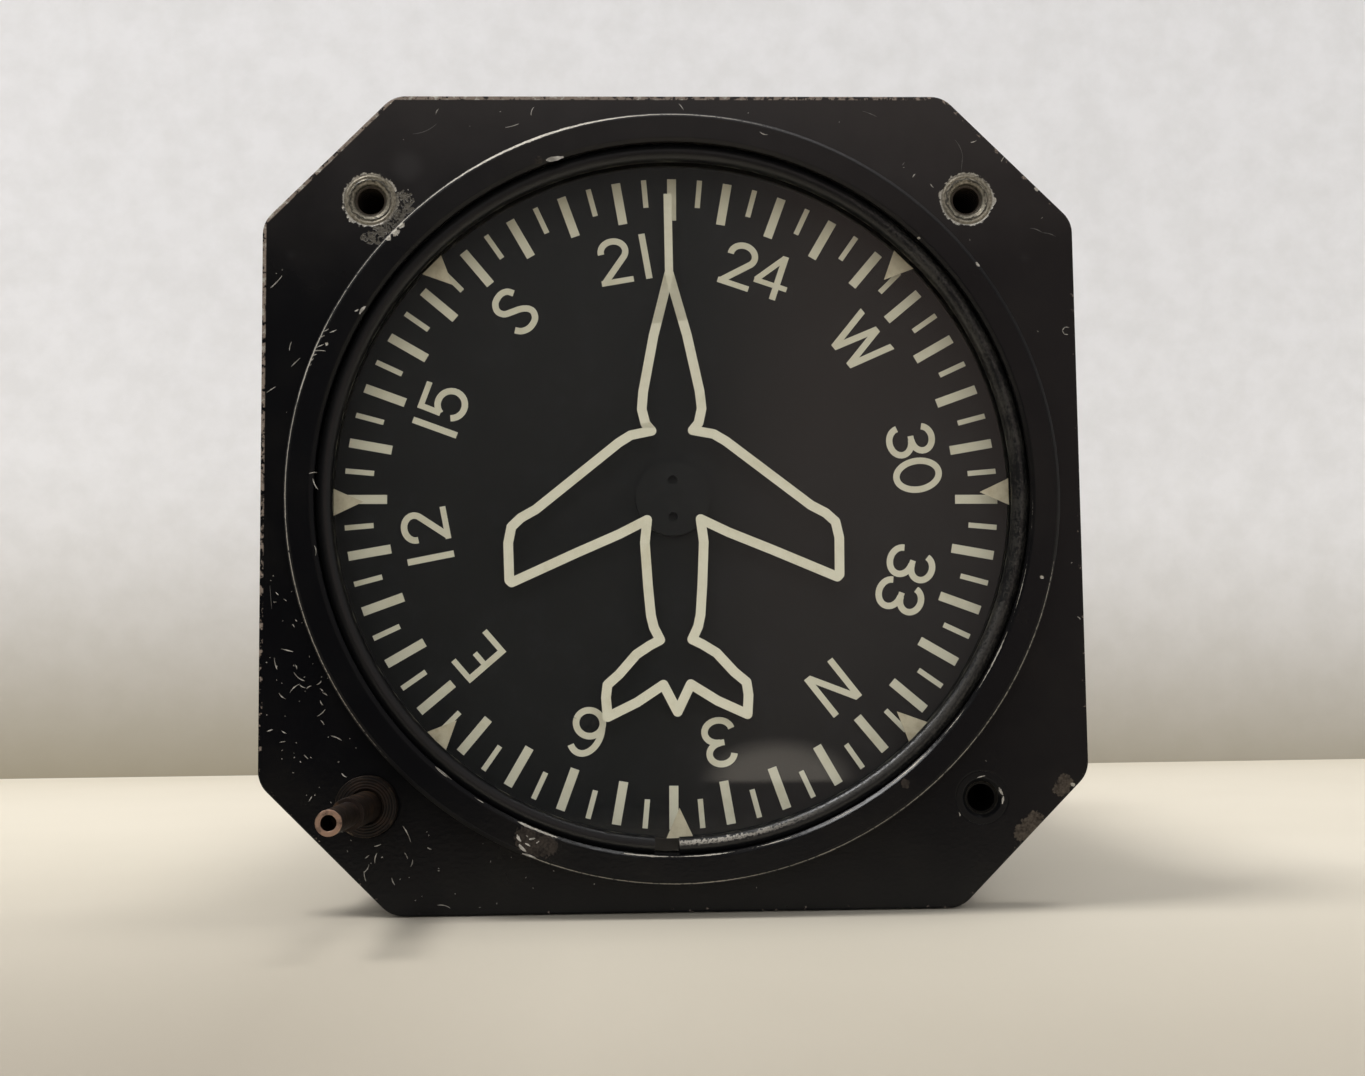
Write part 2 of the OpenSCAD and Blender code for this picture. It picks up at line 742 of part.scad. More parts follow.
module setting_shaft() {
    color([0.55, 0.36, 0.22]) at_shaft() difference() {
        union() {
            rod_y(spindle_r, -shaft_out, -shaft_out + spindle_len + eps);
            rod_y(shaft_r, -shaft_out + spindle_len, shaft_end_y);
        }
        rod_y(spindle_bore_r, -shaft_out - 1, -shaft_out + spindle_bore_depth);
        ring_y(shaft_r + 1, groove_r, clip_y, clip_y + clip_t);
    }
}

module setting_pinion() {
    color("goldenrod") at_shaft() difference() {
        plate_y(pinion_y, gear_t) spur_outline(pinion_teeth, 4, train_angle);
        rod_y(shaft_r + seat_gap, 0, gear_y);
    }
}

module shaft_clip() {
    color("silver") at_shaft() ring_y(clip_r, groove_r + seat_gap, clip_y, clip_y + clip_t);
}

module shaft_bushing() {
    color([0.2, 0.17, 0.14]) at_shaft() difference() {
        union() {
            rod_y(collar_r, -collar_h, collar_seat);
            rod_y(bushing_r, 0, flange_t);
        }
        rod_y(shaft_r + run_gap, -collar_h - 1, flange_t + 1);
        rod_y(shaft_r + 0.25, -collar_h - 1, -collar_h + 0.4);
    }
}

// Plate that follows the shaft in and out without turning, and works the caging arm behind it
module caging_fork() {
    reach = norm([screw_dist - guide_d, guide_s]);
    lean = atan2(guide_s, guide_d - screw_dist);
    color([0.5, 0.5, 0.5]) difference() {
        plate_y(fork_y, fork_t) rotate(train_angle) translate([screw_dist, 0]) {
            circle(r = fork_r);
            rotate(lean) translate([0, -1.2]) square([reach, 2.4]);
            rotate(lean) translate([reach, 0]) circle(r = 1.35);
        }
        at_shaft() rod_y(shaft_r + run_gap, fork_y - 1, fork_y + fork_t + 1);
        at_face(guide_d, train_angle, guide_s) rod_y(guide_r + run_gap, fork_y - 1, fork_y + fork_t + 1);
    }
}

module fork_guide_pin() {
    color("silver") at_face(guide_d, train_angle, guide_s) rod_y(guide_r, guide_y, guide_end_y);
}

// Open coil, swept as a six-sided wire along a helix
module return_spring() {
    rings = 8 * spring_turns;
    rise = spring_len - spring_wire;
    sides = 6;
    points = [for (i = [0:rings], s = [0:sides - 1]) let (
        turn = 360 * spring_turns * i / rings,
        edge = 360 * s / sides,
        r = spring_r + spring_wire / 2 * cos(edge),
        y = spring_y + spring_wire / 2 + rise * i / rings + spring_wire / 2 * sin(edge)
    ) [r * cos(turn), y, r * sin(turn)]];
    walls = [for (i = [0:rings - 1], s = [0:sides - 1]) let (
        a = i * sides + s,
        b = i * sides + (s + 1) % sides
    ) each quad(a, b, b + sides, a + sides)];
    first = [[for (s = [sides - 1:-1:0]) s]];
    last = [[for (s = [0:sides - 1]) rings * sides + s]];
    color("gray") at_shaft() polyhedron(points, concat(walls, first, last));
}

module outer_gimbal_ring() {
    color([0.72, 0.72, 0.74]) at_gyro() difference() {
        ring_y(gimbal_r, gimbal_in_r, -outer_ring_w / 2, outer_ring_w / 2);
        rotate([0, 90, 0]) cylinder(r = race_r + seat_gap, h = 3 * gimbal_r, center = true);
        cylinder(r = pivot_r + seat_gap, h = 3 * gimbal_r, center = true);
    }
}

module outer_gimbal_pivots() {
    color("silver") at_gyro() {
        for (side = [0, 180]) rotate([side, 0, 0]) {
            translate([0, 0, gimbal_in_r + 0.2]) cylinder(r = pivot_r, h = pivot_end - gimbal_in_r - 0.2);
        }
        translate([0, 0, gimbal_r]) cylinder(r = pivot_r + 1.5, h = 1.2);
    }
}

// One half of a pair of bearing rings on an axis drawn along Z
module race(bore, r, z0, t) {
    translate([0, 0, z0]) difference() {
        cylinder(r = r, h = t);
        translate([0, 0, -1]) cylinder(r = bore, h = t + 2);
    }
}

module trunnion_bearings() {
    color("peru") at_gyro() for (side = [-90, 90]) rotate([0, side, 0])
        race(trunnion_r + run_gap, race_r, gimbal_in_r + 0.3, race_t);
}

module pivot_plugs() {
    slot_w = 1;
    color([0.5, 0.5, 0.52]) at_gyro() for (side = [0, 180]) rotate([side, 0, 0]) difference() {
        translate([0, 0, plug_in]) cylinder(r = plug_r, h = plug_out - plug_in);
        translate([0, 0, plug_in - 1]) cylinder(r = pivot_race_r + seat_gap, h = 1 + pivot_end + 0.5 - plug_in);
        translate([-plug_r - 1, -slot_w / 2, plug_out - 1]) cube([2 * plug_r + 2, slot_w, 2]);
    }
}

module pivot_bearings() {
    color("peru") at_gyro() for (side = [0, 180]) rotate([side, 0, 0])
        race(pivot_r + run_gap, pivot_race_r, pivot_end + 0.5 - race_t, race_t);
}

module inner_gimbal_frame() {
    color([0.66, 0.66, 0.68]) at_gyro() difference() {
        cylinder(r = inner_r, h = inner_ring_w, center = true);
        cylinder(r = inner_in_r, h = inner_ring_w + 1, center = true);
        rotate([0, 90, 0]) cylinder(r = trunnion_r + seat_gap, h = 3 * inner_r, center = true);
        rotate([90, 0, 0]) cylinder(r = race_r + seat_gap, h = 3 * inner_r, center = true);
    }
}

module inner_gimbal_trunnions() {
    start = inner_in_r + 0.8;
    color("silver") at_gyro() for (side = [-90, 90]) rotate([0, side, 0])
        translate([0, 0, start]) cylinder(r = trunnion_r, h = trunnion_out - start);
}

module rotor_bearings() {
    color("peru") at_gyro() for (side = [-90, 90]) rotate([side, 0, 0])
        race(trunnion_r + run_gap, race_r, inner_in_r + 0.4, race_t);
}

// Two nuts on opposite corners, one above and one below, so that the frame stays in balance
module balance_nuts() {
    mid_r = inner_r - inner_ring_t / 2;
    color("goldenrod") at_gyro() for (side = [0, 180]) rotate([side, 0, 45])
        translate([mid_r, 0, inner_ring_w / 2]) cylinder(r = 1.5, h = 1.5, $fn = 6);
}

// Jets that blow on the buckets, each seated by its stem in the bore of a trunnion
module air_nozzles() {
    tip = rotor_r + 0.4;
    shoulder = inner_in_r - 0.06;
    stem_end = inner_in_r + 0.7;
    jet_r = 0.4;
    color("goldenrod") at_gyro() for (side = [-90, 90]) rotate([0, side, 0]) difference() {
        union() {
            translate([0, 0, tip]) cylinder(r = 1.2, h = shoulder - tip);
            translate([0, 0, tip]) cylinder(r = trunnion_r, h = stem_end - tip);
        }
        translate([0, 0, tip - 1]) cylinder(r = jet_r, h = 3);
    }
}

// Heavy rim with half-round buckets, a thin web and a hub
module gyro_rotor() {
    half = rotor_w / 2;
    rim_t = rotor_r * 0.3;
    hub = 4;
    color([0.75, 0.62, 0.35]) at_gyro() difference() {
        turned_y([
            [2, -half], [hub, -half], [hub, -1.5], [rotor_r - rim_t, -2.5], [rotor_r - rim_t, -half],
            [rotor_r, -half], [rotor_r, half], [rotor_r - rim_t, half], [rotor_r - rim_t, 2.5], [hub, 1.5],
            [hub, half], [2, half]
        ]);
        for (i = [0:bucket_n - 1]) {
            at_face(rotor_r, i * 360 / bucket_n) rod_y(bucket_r, -half / 2, half / 2);
        }
    }
}

module rotor_axle() {
    shoulder = inner_in_r - 0.5;
    color("silver") at_gyro() {
        rod_y(2 - seat_gap, -shoulder, shoulder);
        rod_y(trunnion_r, -inner_r + 0.8, inner_r - 0.8);
    }
}

// Outline of the rear cover and its gasket: a disc with an ear at each screw
module cover_outline() {
    circle(r = body_r);
    for (angle = lug_angles) rotate(angle) translate([lug_dist, 0]) circle(r = lug_r);
}

module at_ports() {
    for (side = [-1, 1]) translate([side * port_offset, 0, 0]) children();
}

module rear_cover() {
    color([0.1, 0.1, 0.11]) difference() {
        union() {
            plate_y(cover_y, cover_t) cover_outline();
            at_ports() rod_y(port_pad_r, cover_back_y - eps, port_y);
        }
        for (angle = lug_angles) {
            at_face(lug_dist, angle) rod_y(rear_screw_r + loose_gap, cover_y - 1, cover_back_y + 1);
        }
        at_ports() rod_y(spigot_r + seat_gap, cover_y - 1, port_y + 1);
        ring_y(cavity_r - 3, port_offset + port_pad_r + 2, cover_y + cover_t - 1, cover_back_y + 1);
    }
}

module rear_gasket() {
    color([0.15, 0.15, 0.14]) difference() {
        plate_y(case_end_y, rear_gasket_t) cover_outline();
        rod_y(cavity_r, 0, cover_y + 1);
        for (angle = lug_angles) at_face(lug_dist, angle) rod_y(rear_screw_r + loose_gap, 0, cover_y + 1);
    }
}

module rear_cover_screws() {
    color("silver") for (angle = lug_angles) at_face(lug_dist, angle)
        translate([0, cover_back_y, 0]) rotate([180, 0, 0])
            slotted_screw(rear_screw_r - seat_gap, 2.6, 1.8, 0, cover_t + rear_gasket_t + lug_len - 3);
}

module vacuum_fitting() {
    hex_t = 6;
    end_y = port_y + fitting_len;
    color([0.72, 0.58, 0.32]) translate([port_offset, 0, 0]) difference() {
        union() {
            rod_y(spigot_r, port_y - spigot_len, port_y + hex_t / 2);
            translate([0, port_y, 0]) rotate([-90, 0, 0]) cylinder(d = hex_af / cos(30), h = hex_t, $fn = 6);
            rod_y(port_r + 2.2, port_y + hex_t - eps, end_y);
        }
        rod_y(air_r, 0, end_y + 1);
        rod_y(port_r, end_y - port_depth, end_y + 1);
    }
}

module air_inlet_fitting() {
    end_y = port_y + filter_len;
    color([0.72, 0.58, 0.32]) translate([-port_offset, 0, 0]) turned_y([
        [air_r, port_y - spigot_len], [spigot_r, port_y - spigot_len], [spigot_r, port_y], [filter_r, port_y],
        [filter_r, end_y], [filter_r - 1.2, end_y], [filter_r - 1.2, end_y - 1.2], [filter_r - 2.2, end_y - 1.2],
        [filter_r - 2.2, port_y + 2], [air_r, port_y + 2]
    ]);
}

module inlet_filter_screen() {
    end_y = port_y + filter_len;
    rows = floor((filter_r - 3) / screen_pitch);
    color("silver") translate([-port_offset, 0, 0]) difference() {
        rod_y(filter_r - 1.2 - seat_gap, end_y - 1.2, end_y - 1.2 + screen_t);
        for (i = [-rows:rows], k = [-rows:rows]) if (norm([i, k]) <= rows) {
            translate([i * screen_pitch, 0, k * screen_pitch]) rod_y(0.75, end_y - 3, end_y + 1);
        }
    }
}

case_housing();
screw_inserts();
cover_glass();
glass_gasket();
mask_ring();
glass_retaining_ring();
lubber_marks();
aeroplane_outline();
compass_card();
card_graduations();
card_hub();
card_shaft();
card_spur_gear();
card_bevel_cup();
card_bevel_teeth();
dial_bridge();
bridge_screws();
card_bearing();
idler_gear();
idler_stud();
setting_shaft();
setting_pinion();
shaft_clip();
shaft_bushing();
caging_fork();
fork_guide_pin();
return_spring();
outer_gimbal_ring();
outer_gimbal_pivots();
trunnion_bearings();
gimbal_bevel_cup();
gimbal_bevel_teeth();
pivot_plugs();
pivot_bearings();
inner_gimbal_frame();
inner_gimbal_trunnions();
rotor_bearings();
balance_nuts();
air_nozzles();
gyro_rotor();
rotor_axle();
rear_cover();
rear_gasket();
rear_cover_screws();
vacuum_fitting();
air_inlet_fitting();
inlet_filter_screen();
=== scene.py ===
# %% [markdown]
# # Directional gyro indicator
# This is a panel instrument: a cast case with a square flange, a compass card behind glass, and a gyro that turns the
# card through gears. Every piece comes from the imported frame, already built to size, and keeps its mesh. What is
# added here is what a photograph shows and a drawing doesn't: paint, metal, rubber, glass and print, the numerals of
# the card, and the knocks of a long life. Everything is in metres: +X to the right of the face, +Z up, and +Y runs
# back from the front of the flange.

# %% Frame
import math
import random

import bpy
from mathutils import Euler, Matrix, Vector


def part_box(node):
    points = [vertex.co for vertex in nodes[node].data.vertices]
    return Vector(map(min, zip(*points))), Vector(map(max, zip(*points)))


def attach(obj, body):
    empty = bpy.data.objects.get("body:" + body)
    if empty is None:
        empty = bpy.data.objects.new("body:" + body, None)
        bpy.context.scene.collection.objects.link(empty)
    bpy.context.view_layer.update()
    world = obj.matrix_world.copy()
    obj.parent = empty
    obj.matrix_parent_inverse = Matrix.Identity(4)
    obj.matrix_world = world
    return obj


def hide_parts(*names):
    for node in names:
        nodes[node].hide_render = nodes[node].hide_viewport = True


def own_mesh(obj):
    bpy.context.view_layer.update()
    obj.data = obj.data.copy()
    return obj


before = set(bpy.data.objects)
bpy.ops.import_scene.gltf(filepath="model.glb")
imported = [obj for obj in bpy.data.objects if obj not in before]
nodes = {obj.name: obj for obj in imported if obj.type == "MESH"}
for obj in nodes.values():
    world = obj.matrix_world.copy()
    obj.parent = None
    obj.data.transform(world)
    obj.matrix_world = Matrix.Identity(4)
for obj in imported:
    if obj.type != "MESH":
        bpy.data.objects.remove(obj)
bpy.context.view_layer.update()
scene = bpy.context.scene
print("pieces loaded:", len(nodes))

# %% [markdown]
# ## Sizes that the finishes use
# A finish that sits at one place of a piece, such as wear on a rim, needs the piece's own sizes. They could be
# measured from the meshes, but a named number says what it is. They are written in millimetres and multiplied by
# `MM`, and only the front of the card is asked from the frame, because the print has to lie exactly on it.

# %% Sizes
MM = 0.001
BOSS_R = 39.5 * MM
BOSS_FRONT = -4.2 * MM
GLASS_BORE_R = 36.5 * MM
BODY_R = 39.4 * MM
COVER_BACK = 99.99 * MM
FLANGE_HALF = 42.55 * MM
CORNER_DIST = 50.63 * MM
SCREW_POS = 31.435 * MM
TOP_HEADING = 219.6
CARD_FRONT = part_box("compass_card")[0].y
print("front of the card at", round(CARD_FRONT / MM, 2), "mm")

# %% [markdown]
# ## Colours and nodes
# A colour is written as a hex code, the way a colour chart gives it, but a shader reckons in linear light, so one
# function turns every code. A material in a script is a tree of nodes, and one more small function is enough to plant
# any of them: it takes the kind of node, what goes into its sockets, and its settings, and gives back the socket that
# the next node reads. Nested calls then read from the inside out, like a formula.

# %% Colours and nodes
def linear(code):
    """Linear colour of an sRGB hex code such as 'a0b0c0'."""
    parts = [int(code[i:i + 2], 16) / 255 for i in (0, 2, 4)]
    return [c / 12.92 if c <= 0.04045 else ((c + 0.055) / 1.055) ** 2.4 for c in parts] + [1]


def add(tree, kind, sockets=(), out=0, **settings):
    """Adds a shader node. Sockets are filled in order, or by name or place, with numbers or with other sockets."""
    node = tree.nodes.new("ShaderNode" + kind)
    for name, value in settings.items():
        setattr(node, name, value)
    for key, value in sockets.items() if isinstance(sockets, dict) else enumerate(sockets):
        if isinstance(value, bpy.types.NodeSocket):
            tree.links.new(value, node.inputs[key])
        else:
            node.inputs[key].default_value = value
    return node.outputs[out] if node.outputs else None


# Settings that many nodes share: a soft step of Map Range from 0 to 1, Mix set to colours (places 6 and 7), and what
# Math is asked for most: a times b, a times b plus c, and the larger of a and b.
SOFT = {"interpolation_type": "SMOOTHSTEP"}
TINT = {"data_type": "RGBA", "out": 2}
TIMES = {"operation": "MULTIPLY"}
TIMES_PLUS = {"operation": "MULTIPLY_ADD"}
LARGER = {"operation": "MAXIMUM"}
print("white is", linear("ffffff")[:3])


# %% Starting and ending a material
def start(name):
    """A new material, its empty tree, and the object's own coordinates in it."""
    made = bpy.data.materials.new(name)
    made.use_nodes = True
    made.node_tree.nodes.clear()
    return made, made.node_tree, add(made.node_tree, "TexCoord", out="Object")


def finish(made, surface, *names):
    """Ends a material with its surface shader and lays it on the named pieces."""
    add(made.node_tree, "OutputMaterial", {"Surface": surface})
    for name in names:
        nodes[name].data.materials.clear()
        nodes[name].data.materials.append(made)
    print(made.name, "on", len(names), "pieces,", len(made.node_tree.nodes), "nodes")


def from_axis(tree, at, x=0.0, z=0.0):
    """Distance from an axis that runs back through (x, z), which is how a lathe sees a piece."""
    flat = add(tree, "VectorMath", (at, (1, 0, 1)), **TIMES)
    return add(tree, "VectorMath", (flat, (x, 0, z)), "Value", operation="DISTANCE")


def ripple(tree, distance, pitch):
    """Sine wave with one turn for every pitch of the distance, for threads and tool rings."""
    turns = add(tree, "Math", (distance, 2 * math.pi / pitch), **TIMES)
    return add(tree, "Math", (turns,), operation="SINE")


# %% [markdown]
# ## Satin black enamel on cast aluminium
# The case is an aluminium casting under a stoved black enamel. The enamel is a dielectric with an IOR near 1.5;
# sprayed over a sanded casting it is satin, so it mirrors the room only as a soft glow, and a very fine orange peel
# breaks that glow up. Its colour is nearly black at the left and is painted greyer towards the top right: partly
# dust that lies in it, and partly a painted sheen, as if a brighter part of the room were mirrored there.
#
# Where hands and tools have rubbed it the enamel is gone and the alloy shows: along the rims of the front boss, round
# the two upper screw holes and in chips. A photograph could be laid on as a picture, but it would carry its own light
# and stretch on the sides. Here each kind of wear is a mask that is worked out from the place on the piece instead,
# so it is sharp at any size and keeps to its rim. First come the colours and the list of chips, as places in mm.

# %% Chips in the enamel
BARE_ALLOY = linear("c4bfb3")
DULL_ALLOY = linear("8a847a")
BARE_SPOTS = [
    (31.6, -4.0, 23.45, 0.28), (25.5, -4.05, 26.2, 0.2), (38.9, 0.1, 32.55, 0.3), (-28.3, -4.1, 26.9, 0.42),
    (-27.7, -4.1, 27.6, 0.34), (-29.0, -4.1, 26.3, 0.34), (40.9, 0.1, -30.2, 0.26), (-35.2, -4.1, 15.3, 0.22),
    (37.3, -4.15, -9.0, 0.2),
]
# Paint flaked off in crumbs beside the upper left screw.
FLAKED_SPOTS = [
    (-28.3, 0, 30.0, 1.5), (-28.9, 0, 28.7, 1.3), (-30.2, 0, 27.7, 1.1), (-27.9, 0, 31.4, 1.0), (-31.6, 0, 27.4, 0.7),
]
# Places where only the undercoat is left.
UNDERCOAT_SPOTS = [
    (-15.2, -4.2, -34.6, 0.9), (-14.0, -4.2, -35.2, 1.1), (-12.9, -4.2, -35.3, 0.7), (35.5, 0, -35.1, 0.7),
    (36.2, 0, -34.5, 0.75), (36.9, 0, -33.8, 0.7), (39.7, 0, -30.6, 0.65), (40.1, 0, -29.9, 0.6),
    (-13.7, -4.1, 34.4, 0.35), (22.9, -4.2, -29.7, 0.35),
]
# Dull smudges, with no edge of their own.
SMUDGES = [(-39.6, 0, 25.6, 0.9), (37.4, 0, 25.1, 0.8), (-27.6, 0, 35.0, 2.2)]


def spots(tree, at, ragged, places, soft=0.05):
    """Mask of spots: 1 inside them. The ragged pattern, from 0 to 1, bites into their outline."""
    mask = 0.0
    for x, y, z, size in places:
        far = add(tree, "VectorMath", (at, (x * MM, y * MM, z * MM)), "Value", operation="DISTANCE")
        reach = add(tree, "Math", (ragged, 1.6 * size * MM, 0.2 * size * MM), **TIMES_PLUS)
        depth = add(tree, "Math", (reach, far), operation="SUBTRACT")
        mask = add(tree, "Math", (mask, add(tree, "MapRange", (depth, 0.0, soft * MM), **SOFT)), **LARGER)
    return mask


print("chips:", len(BARE_SPOTS), "bare,", len(FLAKED_SPOTS), "flaked,", len(UNDERCOAT_SPOTS), "undercoat")

# %% [markdown]
# ## Rubbed rims
# A rim that sticks out is rubbed through first, but never evenly. Round the outer rim of the boss the line of bare
# alloy is widest at the upper left, a hair's breadth at the left and lower right, and missing at the upper right. The
# plainest way to say so is a curve given point by point: half the width of the line in mm against the direction in
# degrees, anticlockwise from the right. Below zero there is no line. Noise of grit size, 0.3 mm, makes its edges
# ragged. The rear rim wears in the same way, wherever the instrument was set down on a bench.

# %% Rubbed rims
OUTER_RIM = [
    (-180, 0.08), (-160, 0.07), (-142, 0.05), (-134, -0.02), (-124, -0.03), (-114, -0.01), (-110, 0.09), (-104, 0.06),
    (-94, 0.06), (-84, 0.09), (-76, 0.05), (-68, 0.08), (-58, 0.06), (-50, 0.07), (-12, 0.06), (-8, -0.06),
    (20, -0.12), (56, -0.12), (68, 0.0), (80, 0.05), (92, 0.08), (100, 0.16), (110, 0.25), (120, 0.2), (127, 0.1),
    (140, 0.07), (152, 0.06), (158, 0.12), (163, 0.12), (167, 0.07), (180, 0.08),
]
BORE_RIM = [
    (-180, -0.14), (-131.5, -0.14), (-131, 0.08), (-128.5, 0.06), (-128, -0.12), (-124, -0.12), (-123.6, 0.08),
    (-121.4, 0.08), (-121, -0.14), (-115.8, -0.14), (-115.4, 0.16), (-109.6, 0.12), (-109, -0.14), (-100, -0.14),
    (-99.4, 0.08), (-94, 0.11), (-91, 0.02), (-85, 0.12), (-80, 0.0), (-74, 0.08), (-69, -0.02), (-63, 0.07),
    (-58, -0.01), (-53, 0.06), (-49, 0.11), (-45, 0.0), (-40, 0.08), (-36, -0.02), (-31, 0.06), (-27, 0.1),
    (-22, -0.01), (-16, 0.06), (-11, 0.0), (-2, 0.02), (6, -0.1), (180, -0.14),
]
REAR_RIM = [
    (-180, 0.12), (-156, 0.2), (-140, 0.04), (-118, -0.06), (-84, -0.04), (-62, 0.08), (-36, 0.22), (-18, 0.1),
    (8, 0.16), (30, -0.04), (52, 0.06), (74, 0.24), (92, 0.1), (120, -0.05), (138, 0.18), (160, 0.05), (180, 0.12),
]
CURVE_SPAN = 0.3


def to_rim(tree, at, rim_r, rim_y):
    """Distance from a circular rim, from its radius and its place along the axis."""
    along = add(tree, "SeparateXYZ", (at,), "Y")
    section = add(tree, "CombineXYZ", (from_axis(tree, at), along, 0.0))
    return add(tree, "VectorMath", (section, (rim_r, rim_y, 0)), "Value", operation="DISTANCE")


def rubbed_rim(tree, at, grit, far, widths):
    """Mask of the bare line along a rim, from the distance to it."""
    parts = add(tree, "SeparateXYZ", (at,), "X").node.outputs
    direction = add(tree, "Math", (parts["Z"], parts["X"]), operation="ARCTAN2")
    turn = add(tree, "MapRange", (direction, -math.pi, math.pi))
    drawn = add(tree, "FloatCurve", {"Value": turn})
    line = drawn.node.mapping.curves[0]
    for k, (degrees, width) in enumerate(widths):
        place = (degrees / 360 + 0.5, 0.5 + width / 2 / CURVE_SPAN)
        if k in (0, len(widths) - 1):
            line.points[0 if k == 0 else -1].location = place
        else:
            line.points.new(*place)
    for point in line.points:
        point.handle_type = "VECTOR"
    drawn.node.mapping.update()
    half = add(tree, "MapRange", (drawn, 0.0, 1.0, -CURVE_SPAN * MM, CURVE_SPAN * MM))
    half = add(tree, "Math", (half, add(tree, "Math", (grit, 1.6, 0.2), **TIMES_PLUS)), **TIMES)
    half = add(tree, "Math", (grit, 0.1 * MM, add(tree, "Math", (half, 0.05 * MM), operation="SUBTRACT")),
               **TIMES_PLUS)
    return add(tree, "MapRange", (add(tree, "Math", (half, far), operation="SUBTRACT"), 0.0, 0.03 * MM), **SOFT)


print("widest bare line:", 2 * max(w for _, w in OUTER_RIM), "mm")

# %% [markdown]
# ## Laying the enamel on
# The masks are gathered with Maximum, since a place is bare if any of them says so. The outline of the flange is a
# square with its corners cut off, so how far a point lies inside it follows from the folded coordinates |x| and |z|;
# within 0.3 mm of it the enamel is thin and crumbles, most of all at the upper left. Base colour, metallic, roughness
# and a 0.05 mm step down into each chip all follow one mask, so they can't drift apart. The specular level is set
# well under its usual value, as old enamel reflects less. Behind the flange the casting was hardly sanded and nobody
# wiped it, so there the gloss is duller, the peel coarser, and handling marks are drawn out along the case.

# %% Satin black enamel
made, tree, at = start("satin black enamel on cast aluminium")
place = add(tree, "SeparateXYZ", (at,), "X").node.outputs
grit = add(tree, "TexNoise", {"Vector": at, "Scale": 1 / (0.28 * MM), "Detail": 3.0})
blotch = add(tree, "TexNoise", {"Vector": at, "Scale": 1 / (0.9 * MM), "Detail": 3.0})
patch = add(tree, "TexNoise", {"Vector": at, "Scale": 1 / (4 * MM), "Detail": 3.0})

outer_rim = to_rim(tree, at, BOSS_R - 0.17 * MM, BOSS_FRONT + 0.17 * MM)
bore_rim = to_rim(tree, at, GLASS_BORE_R + 0.14 * MM, BOSS_FRONT + 0.2 * MM)
rear_rim = to_rim(tree, at, BODY_R, COVER_BACK)
worn = rubbed_rim(tree, at, grit, outer_rim, OUTER_RIM)
for rim, widths in ((bore_rim, BORE_RIM), (rear_rim, REAR_RIM)):
    worn = add(tree, "Math", (worn, rubbed_rim(tree, at, grit, rim, widths)), **LARGER)
crumbs = add(tree, "MapRange", (add(tree, "Math", (blotch, 1.3, grit), **TIMES_PLUS), 1.02, 1.22), **SOFT)
flaked = spots(tree, at, blotch, FLAKED_SPOTS)
worn = add(tree, "Math", (worn, add(tree, "Math", (crumbs, flaked), **TIMES)), **LARGER)
worn = add(tree, "Math", (worn, spots(tree, at, grit, BARE_SPOTS)), **LARGER)
on_face = add(tree, "MapRange", (place["Y"], 0.5 * MM, 0.2 * MM), **SOFT)
for side in (-1, 1):
    near = add(tree, "Math", (blotch, 1.1 * MM, from_axis(tree, at, side * SCREW_POS, SCREW_POS)), **TIMES_PLUS)
    near = add(tree, "Math", (grit, 0.5 * MM, near), **TIMES_PLUS)
    ring = add(tree, "MapRange", (near, 3.75 * MM, 3.6 * MM), **SOFT)
    worn = add(tree, "Math", (worn, add(tree, "Math", (ring, on_face), **TIMES)), **LARGER)

folded = add(tree, "SeparateXYZ", (add(tree, "VectorMath", (at,), operation="ABSOLUTE"),), "X").node.outputs
across_flat = add(tree, "Math", (folded["X"], folded["Z"]), **LARGER)
across_corner = add(tree, "Math", (add(tree, "Math", (folded["X"], folded["Z"]), operation="ADD"), math.sqrt(0.5),
                                   FLANGE_HALF - CORNER_DIST), **TIMES_PLUS)
inset = add(tree, "Math", (FLANGE_HALF, add(tree, "Math", (across_flat, across_corner), **LARGER)),
            operation="SUBTRACT")
edge = add(tree, "Math", (add(tree, "MapRange", (inset, 0.42 * MM, 0.3 * MM), **SOFT),
                          add(tree, "MapRange", (place["Y"], 0.6 * MM, 0.4 * MM), **SOFT)), **TIMES)
upper_left = add(tree, "Math", (place["X"], -0.6, add(tree, "Math", (place["Z"], 0.8), **TIMES)), **TIMES_PLUS)
crumbling = add(tree, "MapRange", (upper_left, -5 * MM, 42 * MM, -0.14, 0.14))
crumbling = add(tree, "Math", (crumbling, add(tree, "Math", (grit, 0.5, blotch), **TIMES_PLUS)), operation="ADD")
thin = add(tree, "Math", (edge, add(tree, "MapRange", (crumbling, 0.74, 0.86), **SOFT)), **TIMES)
nicked = add(tree, "MapRange", (crumbling, 0.95, 1.0), **SOFT)
worn = add(tree, "Math", (worn, add(tree, "Math", (edge, nicked), **TIMES)), **LARGER)
rounded = add(tree, "Bevel", {"Radius": 0.25 * MM}, samples=6)
print("masks of wear ready:", len(tree.nodes), "nodes")

# %% Colours and gloss of the enamel
dust = add(tree, "TexNoise", {"Vector": at, "Scale": 1 / (11 * MM), "Detail": 4.0, "Roughness": 0.6})
dusty = add(tree, "MapRange", (dust, 0.45, 0.8), **SOFT)
paint = add(tree, "Mix", {0: dusty, 6: linear("0a0a0c"), 7: linear("141312")}, **TINT)
